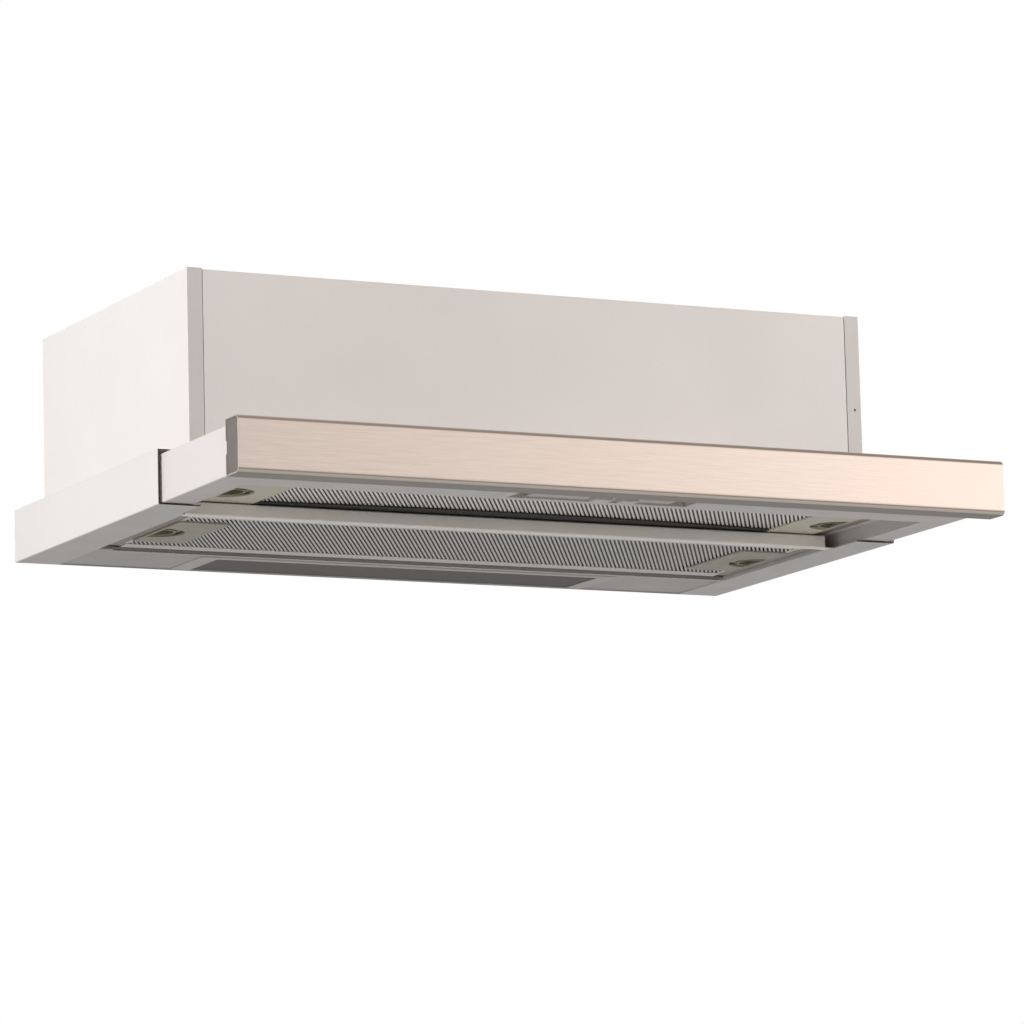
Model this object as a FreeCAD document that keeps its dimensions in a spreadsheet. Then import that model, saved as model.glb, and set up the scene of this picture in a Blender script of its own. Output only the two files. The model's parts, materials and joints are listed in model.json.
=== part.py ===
import FreeCAD, Part
import math
import os
import re
import sys
import Sketcher

# Pull-out range hood, drawn with its drawer pulled out.
# Millimetres. x runs left to right, y runs to the back, z runs up.
# The origin is in the middle of the back plane, level with the underside of the housing.

# every driving dimension, with what it measures
SIZES = {
    # lower housing
    "frame_width": 589.2,  # width of the lower housing over its side walls
    "frame_depth": 274.6,  # depth of the lower housing
    "frame_height": 39.0,  # height of the lower housing
    "sheet_thick": 0.8,  # thickness of all folded sheet
    "bend_radius": 1.2,  # outer radius of a sharp fold
    "rail_flange": 34.6,  # width of the bottom flange of a side rail
    "front_step": 3.0,  # step of the same flange's inner edge in front of the cross rail
    "upstand_height": 3.2,  # height of the fold around the filter opening
    "rear_plate_depth": 73.0,  # depth of the bottom plate behind the fixed filter
    "cross_rail_back": 240.0,  # distance of the cross rail's face from the back plane
    "cross_rail_height": 9.5,  # height of the cross rail
    "cross_rail_flange": 8.0,  # depth of the cross rail's bottom flange
    "cross_rail_lip": 4.0,  # depth of the cross rail's top lip
    "cross_rail_inset": 4.4,  # gap between the right end of the cross rail and the filter opening's side
    "deck_opening_width": 430.0,  # width of the air opening in the deck
    "deck_opening_depth": 170.0,  # depth of the air opening in the deck
    "deck_opening_front": 240.0,  # distance of the air opening's front edge from the back plane
    "cabinet_hole_radius": 2.25,  # radius of a hole for a cabinet screw
    "cabinet_hole_inset": 8.1,  # distance of the cabinet screws from the housing's side
    "cabinet_hole_first": 45.0,  # distance of the rear cabinet screws from the back plane
    "cabinet_hole_spacing": 130.0,  # spacing of the cabinet screws along the depth

    # upper casing
    "casing_inset": 23.9,  # distance of the upper casing's side from the housing's side
    "casing_height": 130.6,  # height of the upper casing
    "casing_flange": 11.7,  # width of the folded flanges of a casing side
    "panel_gap": 0.5,  # gap between the front plate and the side flanges
    "front_plate_return": 10.0,  # depth of the folded sides of the front plate
    "dimple_radius": 0.9,  # radius of the small hole in the right front flange
    "dimple_inset": 5.3,  # distance of that hole from the casing's side
    "dimple_height": 59.9,  # height of that hole above the lower housing

    # outlet
    "collar_radius": 59.5,  # outer radius of the outlet collar
    "collar_wall": 2.0,  # wall of the outlet collar
    "collar_height": 18.0,  # height of the outlet collar above the top plate
    "collar_flange_radius": 70.0,  # outer radius of the collar's flange
    "collar_flange_thick": 1.6,  # thickness of the collar's flange
    "flap_clearance": 1.0,  # gap between a flap and the collar's wall
    "flap_thick": 1.0,  # thickness of a non-return flap
    "flap_start": 3.5,  # distance of a flap's plate from its axle
    "flap_level": 9.2,  # height of the flap axle above the top plate
    "axle_radius": 1.5,  # radius of the flap axle
    "knuckle_radius": 2.8,  # outer radius of a flap's knuckle
    "knuckle_length": 30.0,  # length of a flap's knuckle
    "knuckle_start": 4.0,  # distance of a knuckle from the middle of the axle
    "running_gap": 0.05,  # radial clearance of a turning fit

    # blower
    "blower_back": 105.0,  # distance of the impeller's axis from the back plane
    "scroll_below": 5.0,  # gap between the deck and the scroll
    "scroll_above": 8.0,  # gap between the scroll and the top plate
    "scroll_wall": 2.0,  # wall of the scroll
    "scroll_half": 48.0,  # half of the scroll's width
    "inlet_step": 6.0,  # difference between the impeller's radius and that of the scroll's inlets
    "outlet_depth": 60.0,  # depth of the scroll's outlet duct
    "wheel_gap": 14.0,  # gap between the impeller and the scroll's outer radius
    "wheel_side_gap": 4.0,  # gap between the impeller's side and the scroll's wall
    "wheel_ring": 8.0,  # radial depth of a blade and of the end rings
    "wheel_disc": 2.0,  # thickness of the impeller's centre disc
    "blade_count": 24,  # number of blades
    "blade_thick": 1.2,  # thickness of a blade
    "hub_radius": 10.0,  # radius of the impeller's hub
    "hub_half": 8.0,  # half of the hub's length
    "shaft_radius": 4.0,  # radius of the motor shaft
    "motor_radius": 28.0,  # radius of the motor
    "motor_length": 44.0,  # length of the motor
    "motor_gap": 4.0,  # gap between the scroll and the motor
    "motor_grip": 10.0,  # length of the shaft inside the motor
    "bracket_thick": 3.0,  # thickness of the motor bracket's ring
    "bracket_width": 8.0,  # width of the motor bracket's ring and arms
    "bracket_arms": 3,  # number of the motor bracket's arms
    "bracket_margin": 6.0,  # distance of the bracket's feet from the edge of the scroll
    "capacitor_radius": 15.0,  # radius of the motor capacitor
    "capacitor_height": 48.0,  # height of the motor capacitor
    "capacitor_side": 150.0,  # distance of the capacitor from the middle
    "capacitor_back": 40.0,  # distance of the capacitor from the back plane

    # mains inlet
    "terminal_width": 70.0,  # width of the terminal box
    "terminal_depth": 50.0,  # depth of the terminal box
    "terminal_height": 34.0,  # height of the terminal box
    "inlet_inset": 65.7,  # distance of the cable gland from the casing's side
    "inlet_back": 30.0,  # distance of the cable gland from the back plane
    "gland_radius": 6.0,  # radius of the gland's neck
    "gland_bore": 4.0,  # radius of the gland's bore
    "gland_head_radius": 9.0,  # radius of the gland's head
    "gland_head_height": 7.0,  # height of the gland's head above the top plate
    "gland_head_round": 2.3,  # radius of the gland head's upper edge
    "gland_neck": 8.0,  # length of the gland's neck

    # lamp
    "lamp_width": 344.0,  # width of the lamp cover
    "lamp_front": 63.6,  # distance of the lamp cover's front edge from the back plane
    "lamp_back": 3.0,  # distance of the lamp cover's rear edge from the back plane
    "bezel_thick": 1.2,  # thickness of the lamp cover's bezel
    "bezel_side": 14.0,  # width of the bezel at its ends
    "bezel_edge": 4.0,  # width of the bezel along its long sides
    "bezel_chamfer": 0.7,  # height of the bezel's bevel
    "bezel_slope": 2.1,  # width of the bezel's bevel
    "lens_thick": 2.0,  # thickness of the lens
    "lens_seat": 2.0,  # overlap of the lens and the bezel
    "lens_recess": 0.6,  # height of the lens above the bezel's face
    "lamp_housing_height": 31.0,  # height of the lamp housing
    "socket_radius": 12.0,  # radius of a lamp socket
    "socket_length": 30.0,  # length of a lamp socket
    "bulb_radius": 10.0,  # radius of a lamp bulb
    "bulb_length": 78.0,  # length of a lamp bulb

    # drawer
    "slide_gap": 2.3,  # gap between the housing's side wall and the drawer's
    "slide_lift": 1.4,  # height of the drawer's underside
    "slide_top_gap": 3.3,  # distance of the drawer's top below the top of the lower housing
    "slide_tail": 12.5,  # distance that the drawer reaches behind its filter
    "ledge_width": 9.0,  # width of the filter ledge of a side channel
    "ledge_overlap": 1.0,  # distance that a ledge stands past the side of the filter opening
    "front_rail_upstand": 8.0,  # height of the front rail's rear fold
    "cover_lip": 6.0,  # height of the fold at the rear of the drawer's cover

    # front panel
    "panel_overhang": 4.4,  # distance that the front panel stands past the housing's side
    "panel_face": 424.0,  # distance of the panel's face from the back plane, pulled out
    "panel_thick": 21.0,  # thickness of the front panel
    "panel_top_gap": 1.6,  # distance of the panel's top below the top of the lower housing
    "panel_drop": 2.0,  # depth of the panel's lower edge below the underside
    "panel_radius": 3.8,  # outer radius of the panel's long edges
    "panel_return": 15.0,  # height of the panel's folded rear edges
    "cap_thick": 2.0,  # thickness of an end cap
    "cap_recess": 0.4,  # distance of an end cap inside the end of the panel's shell
    "cap_play": 0.1,  # play of an end cap in the panel's shell

    # switches
    "switch_left": 71.5,  # distance of the switch strip's left end from the middle
    "switch_right": 70.0,  # distance of the switch strip's right end from the middle
    "switch_margin": 8.0,  # width of the front rail in front of and behind the switch strip
    "switch_depth": 29.0,  # depth of the switch strip
    "switch_recess": 4.5,  # depth of the wells at both ends of the switch strip
    "switch_well": 13.0,  # length of a well
    "switch_floor": 1.2,  # depth of the strip's floor between the wells
    "switch_wall": 1.2,  # wall of the switch strip
    "knob_width": 13.0,  # width of a switch knob
    "knob_depth": 12.0,  # depth of a switch knob
    "knob_height": 2.6,  # height of a switch knob
    "knob_back": 12.0,  # distance of the knobs from the rear edge of the switch strip
    "light_knob_side": -2.9,  # place of the light switch knob across the hood
    "fan_knob_side": 17.6,  # place of the fan switch knob across the hood
    "knob_gap": 0.2,  # gap above a knob
    "knob_radius": 0.6,  # radius of a knob's lower edges

    # runners
    "runner_inset": 13.5,  # distance of a fixed runner's web from the drawer's outer wall
    "runner_drop": 5.2,  # distance of a fixed runner's upper lip below the deck
    "runner_height": 18.0,  # height of a fixed runner over its lips
    "runner_thick": 1.2,  # thickness of the runners
    "runner_lip": 8.8,  # length of a fixed runner's lips
    "runner_play": 0.5,  # play between the two members of a runner
    "runner_end": 6.6,  # distance of a fixed runner from the front of the housing
    "runner_start": 8.0,  # distance of a fixed runner from the back plane
    "runner_flange": 8.0,  # width of a fixed runner's fastening flange
    "runner_moving_reach": 8.5,  # length of a moving runner's lips
    "runner_moving_rear": 150.0,  # distance of a moving runner's rear end from the back plane
    "runner_front_gap": 6.2,  # distance of a moving runner from the drawer's apron

    # grease filters
    "filter_gap": 2.5,  # gap between the end of a grease filter and the side of its opening
    "filter_front_gap": 2.0,  # gap between the fixed filter and the cross rail's flange
    "filter_rear_gap": 10.0,  # gap between the fixed filter and the rear plate
    "drawer_filter_gap": 2.5,  # gap between the drawer filter and the front rail
    "filter_clearance": 2.0,  # height of the drawer filter's face above the cross rail
    "filter_height": 6.0,  # height of a filter's frame above its face
    "filter_rim": 11.0,  # width of a filter's rims
    "bead_height": 1.0,  # height of the raised long rims of a filter
    "bead_radius": 0.6,  # radius of the long edges of these rims
    "bead_inset": 12.0,  # distance of a raised long rim's end from the end of the filter
    "rib_pitch": 3.0,  # pitch of the ribs, square to them
    "rib_slot": 1.35,  # width of a slot between two ribs
    "rib_angle": 59.5,  # angle of the ribs from the width
    "mesh_gap": 3.0,  # gap between the mesh pack and a latch plate
    "sheet_play": 0.1,  # play of a sheet inside its frame

    # filter latches
    "plate_inset": 10.5,  # distance of a latch plate's outer end from the end of the filter
    "plate_length": 40.0,  # length of a latch plate across the hood
    "plate_depth": 89.0,  # depth of a latch plate
    "plate_thick": 1.2,  # thickness of a latch plate
    "plate_offset": 2.0,  # distance of a latch plate from its filter's centre line, to the back
    "plate_corner": 3.0,  # corner radius of a latch plate
    "window_inset": 2.0,  # distance of the finger window from the plate's outer end
    "window_centre": 3.5,  # distance of the window's centre from the plate's outer end
    "window_radius": 19.0,  # radius of the finger window
    "window_offset": 3.0,  # distance of the finger window from the plate's centre line, to the back
    "latch_reach": 4.5,  # distance that a latch tongue stands out of its filter
    "latch_thick": 1.2,  # thickness of a latch slider
    "latch_margin": 2.0,  # distance that a slider reaches past the finger window
    "latch_tail": 2.5,  # distance that a slider reaches past the window's inner end
    "latch_travel": 5.5,  # travel of a latch slider
    "tongue_depth": 12.0,  # depth of a latch tongue
    "grip_sink": 0.3,  # depth of a grip's lower edge above the face of its plate
    "grip_gap": 0.5,  # gap between the drawn slider's grip and the window
    "grip_thick": 2.0,  # thickness of a slider's grip
    "latch_play": 0.2,  # play of a latch slider

    # sealing strip of the drawer filter
    "seal_gap": 1.5,  # gap between the sealing strip and a latch plate
    "seal_width": 36.5,  # width of the sealing strip in its middle
    "seal_bow": 11.0,  # bow of the strip's front edge
    "seal_thick": 1.0,  # thickness of the sealing strip

    # travel switch
    "travel_switch_gap": 25.0,  # gap between the travel switch and the runner's flange
    "travel_switch_width": 20.0,  # width of the travel switch
    "travel_switch_depth": 12.0,  # depth of the travel switch
    "travel_switch_height": 12.0,  # height of the travel switch
    "travel_switch_front": 74.0,  # distance of its front from the back plane
    "plunger_radius": 2.0,  # radius of its plunger
    "plunger_reach": 5.5,  # distance that the plunger stands out
    "plunger_grip": 6.0,  # length of the plunger inside the switch

    # screws
    "screw_radius": 1.6,  # radius of a screw's shank
    "screw_head_radius": 3.4,  # radius of a screw's head
    "screw_head_height": 2.0,  # height of a screw's head
    "screw_length": 6.0,  # length of a screw's shank
    "screw_play": 0.15,  # radial clearance of a screw's hole
    "casing_screw_inset": 6.5,  # distance of the casing screws from the casing's side
    "casing_screw_margin": 22.0,  # distance of the casing screws from the casing's front and back
    "panel_screw_low": 7.0,  # height of the lower panel screws
    "panel_screw_drop": 7.2,  # distance of the upper panel screws below the drawer's top
    "panel_screw_inset": 10.5,  # distance of the panel screws from the drawer's outer wall
}

doc = FreeCAD.newDocument("pull_out_hood")
sheet = doc.addObject("Spreadsheet::Sheet", "sizes")
for row, (alias, value) in enumerate(SIZES.items(), start=1):
    sheet.set("A%d" % row, str(value))
    sheet.setAlias("A%d" % row, alias)
pieces = []

doc.recompute()

# places that several pieces share, all worked out from the sizes above
HALF_FRAME = "(frame_width / 2)"
INNER_WALL = "(frame_width / 2 - sheet_thick)"
OPENING = "(frame_width / 2 - rail_flange)"
HALF_CASING = "(frame_width / 2 - casing_inset)"
CASING_TOP = "(frame_height + casing_height)"
TOP_PLATE = "(frame_height + casing_height - 2 * sheet_thick)"
SLIDE_OUTER = "(frame_width / 2 - sheet_thick - slide_gap)"
SLIDE_INNER = "(frame_width / 2 - rail_flange + ledge_width - ledge_overlap)"
SLIDE_TOP = "(frame_height - slide_top_gap)"
RUNNER_WEB = "(frame_width / 2 - sheet_thick - slide_gap - runner_inset)"
PANEL_BACK = "(panel_face - panel_thick)"
PANEL_TOP = "(frame_height - panel_top_gap)"
HALF_PANEL = "(frame_width / 2 + panel_overhang)"
SWITCH_FRONT = "(panel_face - panel_thick - switch_margin)"
SWITCH_REAR = "(panel_face - panel_thick - switch_margin - switch_depth)"
RAIL_REAR = "(panel_face - panel_thick - 2 * switch_margin - switch_depth)"
SCROLL_RADIUS = "((casing_height - 2 * sheet_thick - scroll_below - scroll_above) / 2)"
BLOWER_LEVEL = "(frame_height + scroll_below + %s)" % SCROLL_RADIUS
OUTLET_Y = "(outlet_depth / 2 - blower_back - %s)" % SCROLL_RADIUS
WHEEL_RADIUS = "(%s - wheel_gap)" % SCROLL_RADIUS
WHEEL_HALF = "(scroll_half - scroll_wall - wheel_side_gap)"
INLET_SIDE = "(%s - inlet_inset)" % HALF_CASING
HALF_FILTER = "(%s - filter_gap)" % OPENING
FILTER_DEPTH = ("(cross_rail_back - cross_rail_flange - filter_front_gap"
                " - rear_plate_depth - filter_rear_gap)")
REAR_FILTER_BACK = "(rear_plate_depth + filter_rear_gap)"
REAR_FILTER_LEVEL = "(upstand_height - sheet_thick)"
FRONT_FILTER_BACK = "(%s - drawer_filter_gap - %s)" % (RAIL_REAR, FILTER_DEPTH)
FRONT_FILTER_LEVEL = "(cross_rail_height + filter_clearance)"
SLIDE_REAR = "(%s - slide_tail)" % FRONT_FILTER_BACK
LEDGE_TOP = "(%s + sheet_thick)" % FRONT_FILTER_LEVEL
PLATE_END = "(%s - plate_inset)" % HALF_FILTER
PLATE_INNER = "(%s - plate_length)" % PLATE_END
WINDOW_CENTRE = "(%s - window_centre)" % PLATE_END
WINDOW_INNER = "(%s - window_radius)" % WINDOW_CENTRE
WINDOW_OUTER = "(%s - window_inset)" % PLATE_END
LATCH_LIFT = "(sheet_thick + latch_play)"
FLAP_AXIS = "(frame_height + casing_height - sheet_thick + flap_level)"
SIDES = (("left", -1), ("right", 1))


def linked(text):
    """An expression in which every size is looked up in the sheet."""
    def lookup(word):
        return "sizes." + word.group() if word.group() in SIZES else word.group()
    return re.sub(r"[a-z][a-z_]*[a-z]", lookup, text)


def number(text):
    """The present value of an expression."""
    return float(sheet.evalExpression(text))


def outward(side, near, far):
    """Two places across the hood on one side of its middle, low one first."""
    if side > 0:
        return near, far
    return "-(%s)" % far, "-(%s)" % near


def about(middle, half):
    """Two places at the same distance from a middle."""
    return "%s - %s" % (middle, half), "%s + %s" % (middle, half)


def piece(label, shape_object):
    """Marks an object as a finished piece of the hood, written under its label."""
    shape_object.Label = label
    pieces.append(shape_object)
    return shape_object


def block(name, x, y, z):
    """A box between a low and a high place along each axis."""
    box = doc.addObject("Part::Box", name)
    for side_length, axis, (low, high) in (("Length", "x", x), ("Width", "y", y), ("Height", "z", z)):
        box.setExpression(side_length, linked("(%s) - (%s)" % (high, low)))
        box.setExpression("Placement.Base." + axis, linked(low))
    return box


TURNS = {
    "x": FreeCAD.Rotation(FreeCAD.Vector(0, 1, 0), 90),
    "y": FreeCAD.Rotation(FreeCAD.Vector(1, 0, 0), -90),
    "z": FreeCAD.Rotation(),
}


def rod(name, axis, start, radius, length):
    """A cylinder that runs from a start point along an axis."""
    cylinder = doc.addObject("Part::Cylinder", name)
    cylinder.Placement.Rotation = TURNS[axis]
    for place, text in zip("xyz", start):
        cylinder.setExpression("Placement.Base." + place, linked(text))
    cylinder.setExpression("Radius", linked(radius))
    cylinder.setExpression("Height", linked(length))
    return cylinder


def joined(name, *shapes):
    """The union of several objects."""
    union = doc.addObject("Part::MultiFuse", name)
    union.Shapes = list(shapes)
    union.Refine = True
    return union


def cut(name, base, *tools):
    """An object less one or more others."""
    difference = doc.addObject("Part::Cut", name)
    difference.Base = base
    difference.Tool = tools[0] if len(tools) == 1 else joined(name + "_tools", *tools)
    difference.Refine = True
    return difference


def rounded(name, base, radius, edge_test):
    """An object with the edges that pass a test rounded."""
    doc.recompute()
    numbers = [i + 1 for i, edge in enumerate(base.Shape.Edges) if edge_test(edge)]
    fillet = doc.addObject("Part::Fillet", name)
    fillet.Base = base
    fillet.Edges = [(i, number(radius), number(radius)) for i in numbers]
    return fillet


def runs_along(edge, axis):
    """True for a straight edge that is parallel to an axis."""
    box = edge.BoundBox
    lengths = {"x": box.XLength, "y": box.YLength, "z": box.ZLength}
    return edge.Length > 0.5 and abs(lengths[axis] - edge.Length) < 1e-4


def passes(edge, **places):
    """True for an edge whose middle lies at the given places, such as z=3.0."""
    middle = edge.BoundBox.Center
    return all(abs(getattr(middle, axis) - place) < 1e-3 for axis, place in places.items())


def section(body, name, plane, points):
    """A closed outline of straight lines in a body, each corner tied to the sheet."""
    sketch = body.newObject("Sketcher::SketchObject", name)
    origin_plane = [f for f in body.Origin.OriginFeatures if f.Role == plane][0]
    sketch.AttachmentSupport = [(origin_plane, "")]
    sketch.MapMode = "FlatFace"
    corners = [FreeCAD.Vector(number(a), number(b), 0) for a, b in points]
    for i, corner in enumerate(corners):
        sketch.addGeometry(Part.LineSegment(corner, corners[(i + 1) % len(corners)]), False)
    for i in range(len(corners)):
        sketch.addConstraint(Sketcher.Constraint("Coincident", i, 2, (i + 1) % len(corners), 1))
    for i, (corner, texts) in enumerate(zip(corners, points)):
        for kind, place, text in (("DistanceX", corner.x, texts[0]), ("DistanceY", corner.y, texts[1])):
            index = sketch.addConstraint(Sketcher.Constraint(kind, -1, 1, i, 1, place))
            sketch.setExpression("Constraints[%d]" % index, linked(text))
    return sketch


def profile(name, plane, points, start, length):
    """A body made by pushing an outline along the axis square to its plane.

    From the XZ plane it grows to the front, from the YZ plane to the right, from the XY plane up.
    """
    body = doc.addObject("PartDesign::Body", name)
    sketch = section(body, name + "_section", plane, points)
    pad = body.newObject("PartDesign::Pad", name + "_pad")
    pad.Profile = sketch
    pad.setExpression("Length", linked(length))
    axis = {"XZ_Plane": "y", "YZ_Plane": "x", "XY_Plane": "z"}[plane]
    body.setExpression("Placement.Base." + axis, linked(start))
    doc.recompute()
    return body


def fold(body, name, radius, places):
    """Rounds the straight edges of a body that run at the given pairs of places."""
    tip = body.Tip
    names = []
    for i, edge in enumerate(tip.Shape.Edges):
        middle = edge.BoundBox.Center
        for axes, first, second in places:
            here = (getattr(middle, axes[0]), getattr(middle, axes[1]))
            if abs(here[0] - number(first)) < 1e-3 and abs(here[1] - number(second)) < 1e-3:
                names.append("Edge%d" % (i + 1))
    fillet = body.newObject("PartDesign::Fillet", name)
    fillet.Base = (tip, names)
    fillet.setExpression("Radius", linked(radius))
    doc.recompute()
    return fillet


# ---- lower housing

def side_rail(word, side):
    """Side wall with a wide bottom flange and an upstand along the filter opening."""
    def corner(x, z):
        return ("%d * (%s)" % (side, x), z)
    body = profile("frame_side_%s_body" % word, "XZ_Plane", [
        corner(OPENING, "0"),
        corner(HALF_FRAME, "0"),
        corner(HALF_FRAME, "frame_height"),
        corner(INNER_WALL, "frame_height"),
        corner(INNER_WALL, "sheet_thick"),
        corner(OPENING + " + sheet_thick", "sheet_thick"),
        corner(OPENING + " + sheet_thick", "upstand_height"),
        corner(OPENING, "upstand_height"),
    ], "0", "frame_depth")
    fold(body, "frame_side_%s_fold" % word, "bend_radius", [("xz", "%d * %s" % (side, HALF_FRAME), "0")])
    upstand = outward(side, OPENING, OPENING + " + sheet_thick")
    above = ("sheet_thick", "upstand_height")
    behind = block("rear_gap_" + word, upstand, ("-rear_plate_depth", "0"), above)
    before = block("front_gap_" + word, upstand,
                   ("-frame_depth", "-cross_rail_back + cross_rail_flange"), above)
    front = block("front_edge_" + word, outward(side, OPENING, OPENING + " + front_step"),
                  ("-frame_depth", "-cross_rail_back"), ("0", "upstand_height"))
    return piece("frame_side_" + word, cut("frame_side_%s_cut" % word, body, behind, before, front))


def cross_rail():
    """Folded rail in front of the fixed filter, with its flange reaching the side rails."""
    right = OPENING + " - cross_rail_inset"
    body = profile("cross_rail_body", "YZ_Plane", [
        ("-cross_rail_back", "0"),
        ("-cross_rail_back + cross_rail_flange", "0"),
        ("-cross_rail_back + cross_rail_flange", "sheet_thick"),
        ("-cross_rail_back + sheet_thick", "sheet_thick"),
        ("-cross_rail_back + sheet_thick", "cross_rail_height - sheet_thick"),
        ("-cross_rail_back + cross_rail_lip", "cross_rail_height - sheet_thick"),
        ("-cross_rail_back + cross_rail_lip", "cross_rail_height"),
        ("-cross_rail_back", "cross_rail_height"),
    ], "-" + OPENING, "%s + %s" % (OPENING, right))
    fold(body, "cross_rail_fold", "bend_radius", [
        ("yz", "-cross_rail_back", "0"),
        ("yz", "-cross_rail_back", "cross_rail_height"),
    ])
    end = block("cross_rail_end", (OPENING + " - 2 * cross_rail_inset", OPENING),
                ("-cross_rail_back + bend_radius", "-cross_rail_back + cross_rail_flange"),
                ("0", "sheet_thick"))
    return piece("frame_cross_rail", joined("cross_rail_union", body, end))


def rear_plate():
    """Bottom plate behind the fixed filter, folded up at the back, with the lamp opening."""
    plate = block("rear_plate_sheet", about("0", INNER_WALL), ("-rear_plate_depth", "0"),
                  ("sheet_thick", "2 * sheet_thick"))
    wall = block("rear_plate_wall", about("0", INNER_WALL), ("-sheet_thick", "0"),
                 ("sheet_thick", "frame_height - sheet_thick"))
    hem = block("rear_plate_hem", about("0", OPENING), ("-sheet_thick", "0"), ("0", "sheet_thick"))
    upstand = block("rear_plate_upstand", about("0", OPENING),
                    ("-rear_plate_depth", "-rear_plate_depth + sheet_thick"), ("sheet_thick", "upstand_height"))
    opening = block("lamp_opening", about("0", "(lamp_width / 2 - bezel_side + lens_seat + panel_gap)"),
                    ("-lamp_front + bezel_edge - lens_seat - panel_gap",
                     "-lamp_back - bezel_edge + lens_seat + panel_gap"), ("0", "3 * sheet_thick"))
    whole = joined("rear_plate_union", plate, wall, hem, upstand)
    softened = rounded("rear_plate_round", whole, "bend_radius / 2",
                       lambda e: runs_along(e, "x") and passes(e, y=-number("rear_plate_depth"),
                                                               z=number("sheet_thick")))
    return piece("frame_rear_plate", cut("rear_plate_cut", softened, opening))


def deck():
    """Sheet between the lower housing and the casing, with the air opening and holes for cabinet screws."""
    sheet_part = block("deck_sheet", about("0", INNER_WALL), ("-frame_depth", "0"),
                       ("frame_height - sheet_thick", "frame_height"))
    opening = block("deck_opening", about("0", "deck_opening_width / 2"),
                    ("-deck_opening_front", "-deck_opening_front + deck_opening_depth"),
                    ("frame_height - 2 * sheet_thick", "frame_height + sheet_thick"))
    holes = []
    for word, side in SIDES:
        for end, place in (("rear", "0"), ("front", "cabinet_hole_spacing")):
            start = ("%d * (%s - cabinet_hole_inset)" % (side, HALF_FRAME), "-cabinet_hole_first - " + place,
                     "frame_height - 2 * sheet_thick")
            holes.append(rod("cabinet_hole_%s_%s" % (end, word), "z", start, "cabinet_hole_radius",
                             "3 * sheet_thick"))
    return piece("frame_deck", cut("deck_cut", sheet_part, opening, *holes))


# ---- upper casing

def casing_screw_places():
    """Places of the four screws that hold the top plate."""
    for word, side in SIDES:
        for end, back in (("rear", "-casing_screw_margin"), ("front", "-frame_depth + casing_screw_margin")):
            yield "%s_%s" % (end, word), "%d * (%s - casing_screw_inset)" % (side, HALF_CASING), back


def casing_screw_holes(name):
    """Clearance holes for the casing screws."""
    return [rod("%s_hole_%s" % (name, end), "z", (x, y, CASING_TOP + " - 5 * sheet_thick"),
                "screw_radius + screw_play", "6 * sheet_thick") for end, x, y in casing_screw_places()]


def casing_side(word, side):
    """Side panel with folded flanges on all four edges."""
    outer = block("casing_side_outer_" + word, outward(side, HALF_CASING + " - casing_flange", HALF_CASING),
                  ("-frame_depth", "0"), ("frame_height", CASING_TOP))
    inner = block("casing_side_inner_" + word,
                  outward(side, HALF_CASING + " - 2 * casing_flange", HALF_CASING + " - sheet_thick"),
                  ("-frame_depth + sheet_thick", "-sheet_thick"),
                  ("frame_height + sheet_thick", CASING_TOP + " - sheet_thick"))
    holes = casing_screw_holes("side_" + word)
    if side > 0:
        holes.append(rod("dimple", "y", (HALF_CASING + " - dimple_inset", "-frame_depth - sheet_thick",
                                         "frame_height + dimple_height"), "dimple_radius", "3 * sheet_thick"))
    shell = cut("casing_side_shell_" + word, outer, inner)
    front = -number("frame_depth")
    edge_x = side * number(HALF_CASING)
    soft = rounded("casing_side_round_" + word, shell, "bend_radius / 2",
                   lambda e: runs_along(e, "z") and passes(e, x=edge_x, y=front)
                   or runs_along(e, "y") and passes(e, x=edge_x, z=number(CASING_TOP)))
    return piece("casing_side_" + word, cut("casing_side_cut_" + word, soft, *holes))


def front_plate():
    """Shallow pan that fills the front between the side flanges."""
    half = HALF_CASING + " - casing_flange - panel_gap"
    outer = block("front_plate_outer", about("0", "(%s)" % half),
                  ("-frame_depth", "-frame_depth + front_plate_return"), ("frame_height", TOP_PLATE))
    inner = block("front_plate_inner", about("0", "(%s - sheet_thick)" % half),
                  ("-frame_depth + sheet_thick", "-frame_depth + 2 * front_plate_return"),
                  ("frame_height + sheet_thick", TOP_PLATE + " - sheet_thick"))
    pan = cut("front_plate_pan", outer, inner)
    front = -number("frame_depth")
    return piece("casing_front_plate", rounded(
        "front_plate_round", pan, "bend_radius / 2",
        lambda e: passes(e, y=front) and (runs_along(e, "z") and abs(e.BoundBox.Center.x) > number(half) - 0.1
                                          or runs_along(e, "x") and passes(e, z=number(TOP_PLATE)))))


def top_plate():
    """Flat plate under the side panels' top flanges, with outlet, gland and screw holes."""
    plate = block("top_plate_sheet", about("0", "(%s - sheet_thick)" % HALF_CASING),
                  ("-frame_depth + sheet_thick", "-sheet_thick"), (TOP_PLATE, TOP_PLATE + " + sheet_thick"))
    outlet = rod("top_plate_outlet", "z", ("0", OUTLET_Y, TOP_PLATE + " - sheet_thick"),
                 "collar_radius - collar_wall", "3 * sheet_thick")
    inlet = rod("top_plate_inlet", "z", (INLET_SIDE, "-inlet_back", TOP_PLATE + " - sheet_thick"),
                "gland_radius + screw_play", "3 * sheet_thick")
    return piece("casing_top_plate", cut("top_plate_cut", plate, outlet, inlet, *casing_screw_holes("top")))


def rear_casing_plate():
    """Flat plate that closes the casing at the back."""
    return piece("casing_rear_plate", block("casing_rear", about("0", "(%s - sheet_thick)" % HALF_CASING),
                                            ("-2 * sheet_thick", "-sheet_thick"),
                                            ("frame_height + sheet_thick", TOP_PLATE)))


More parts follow.
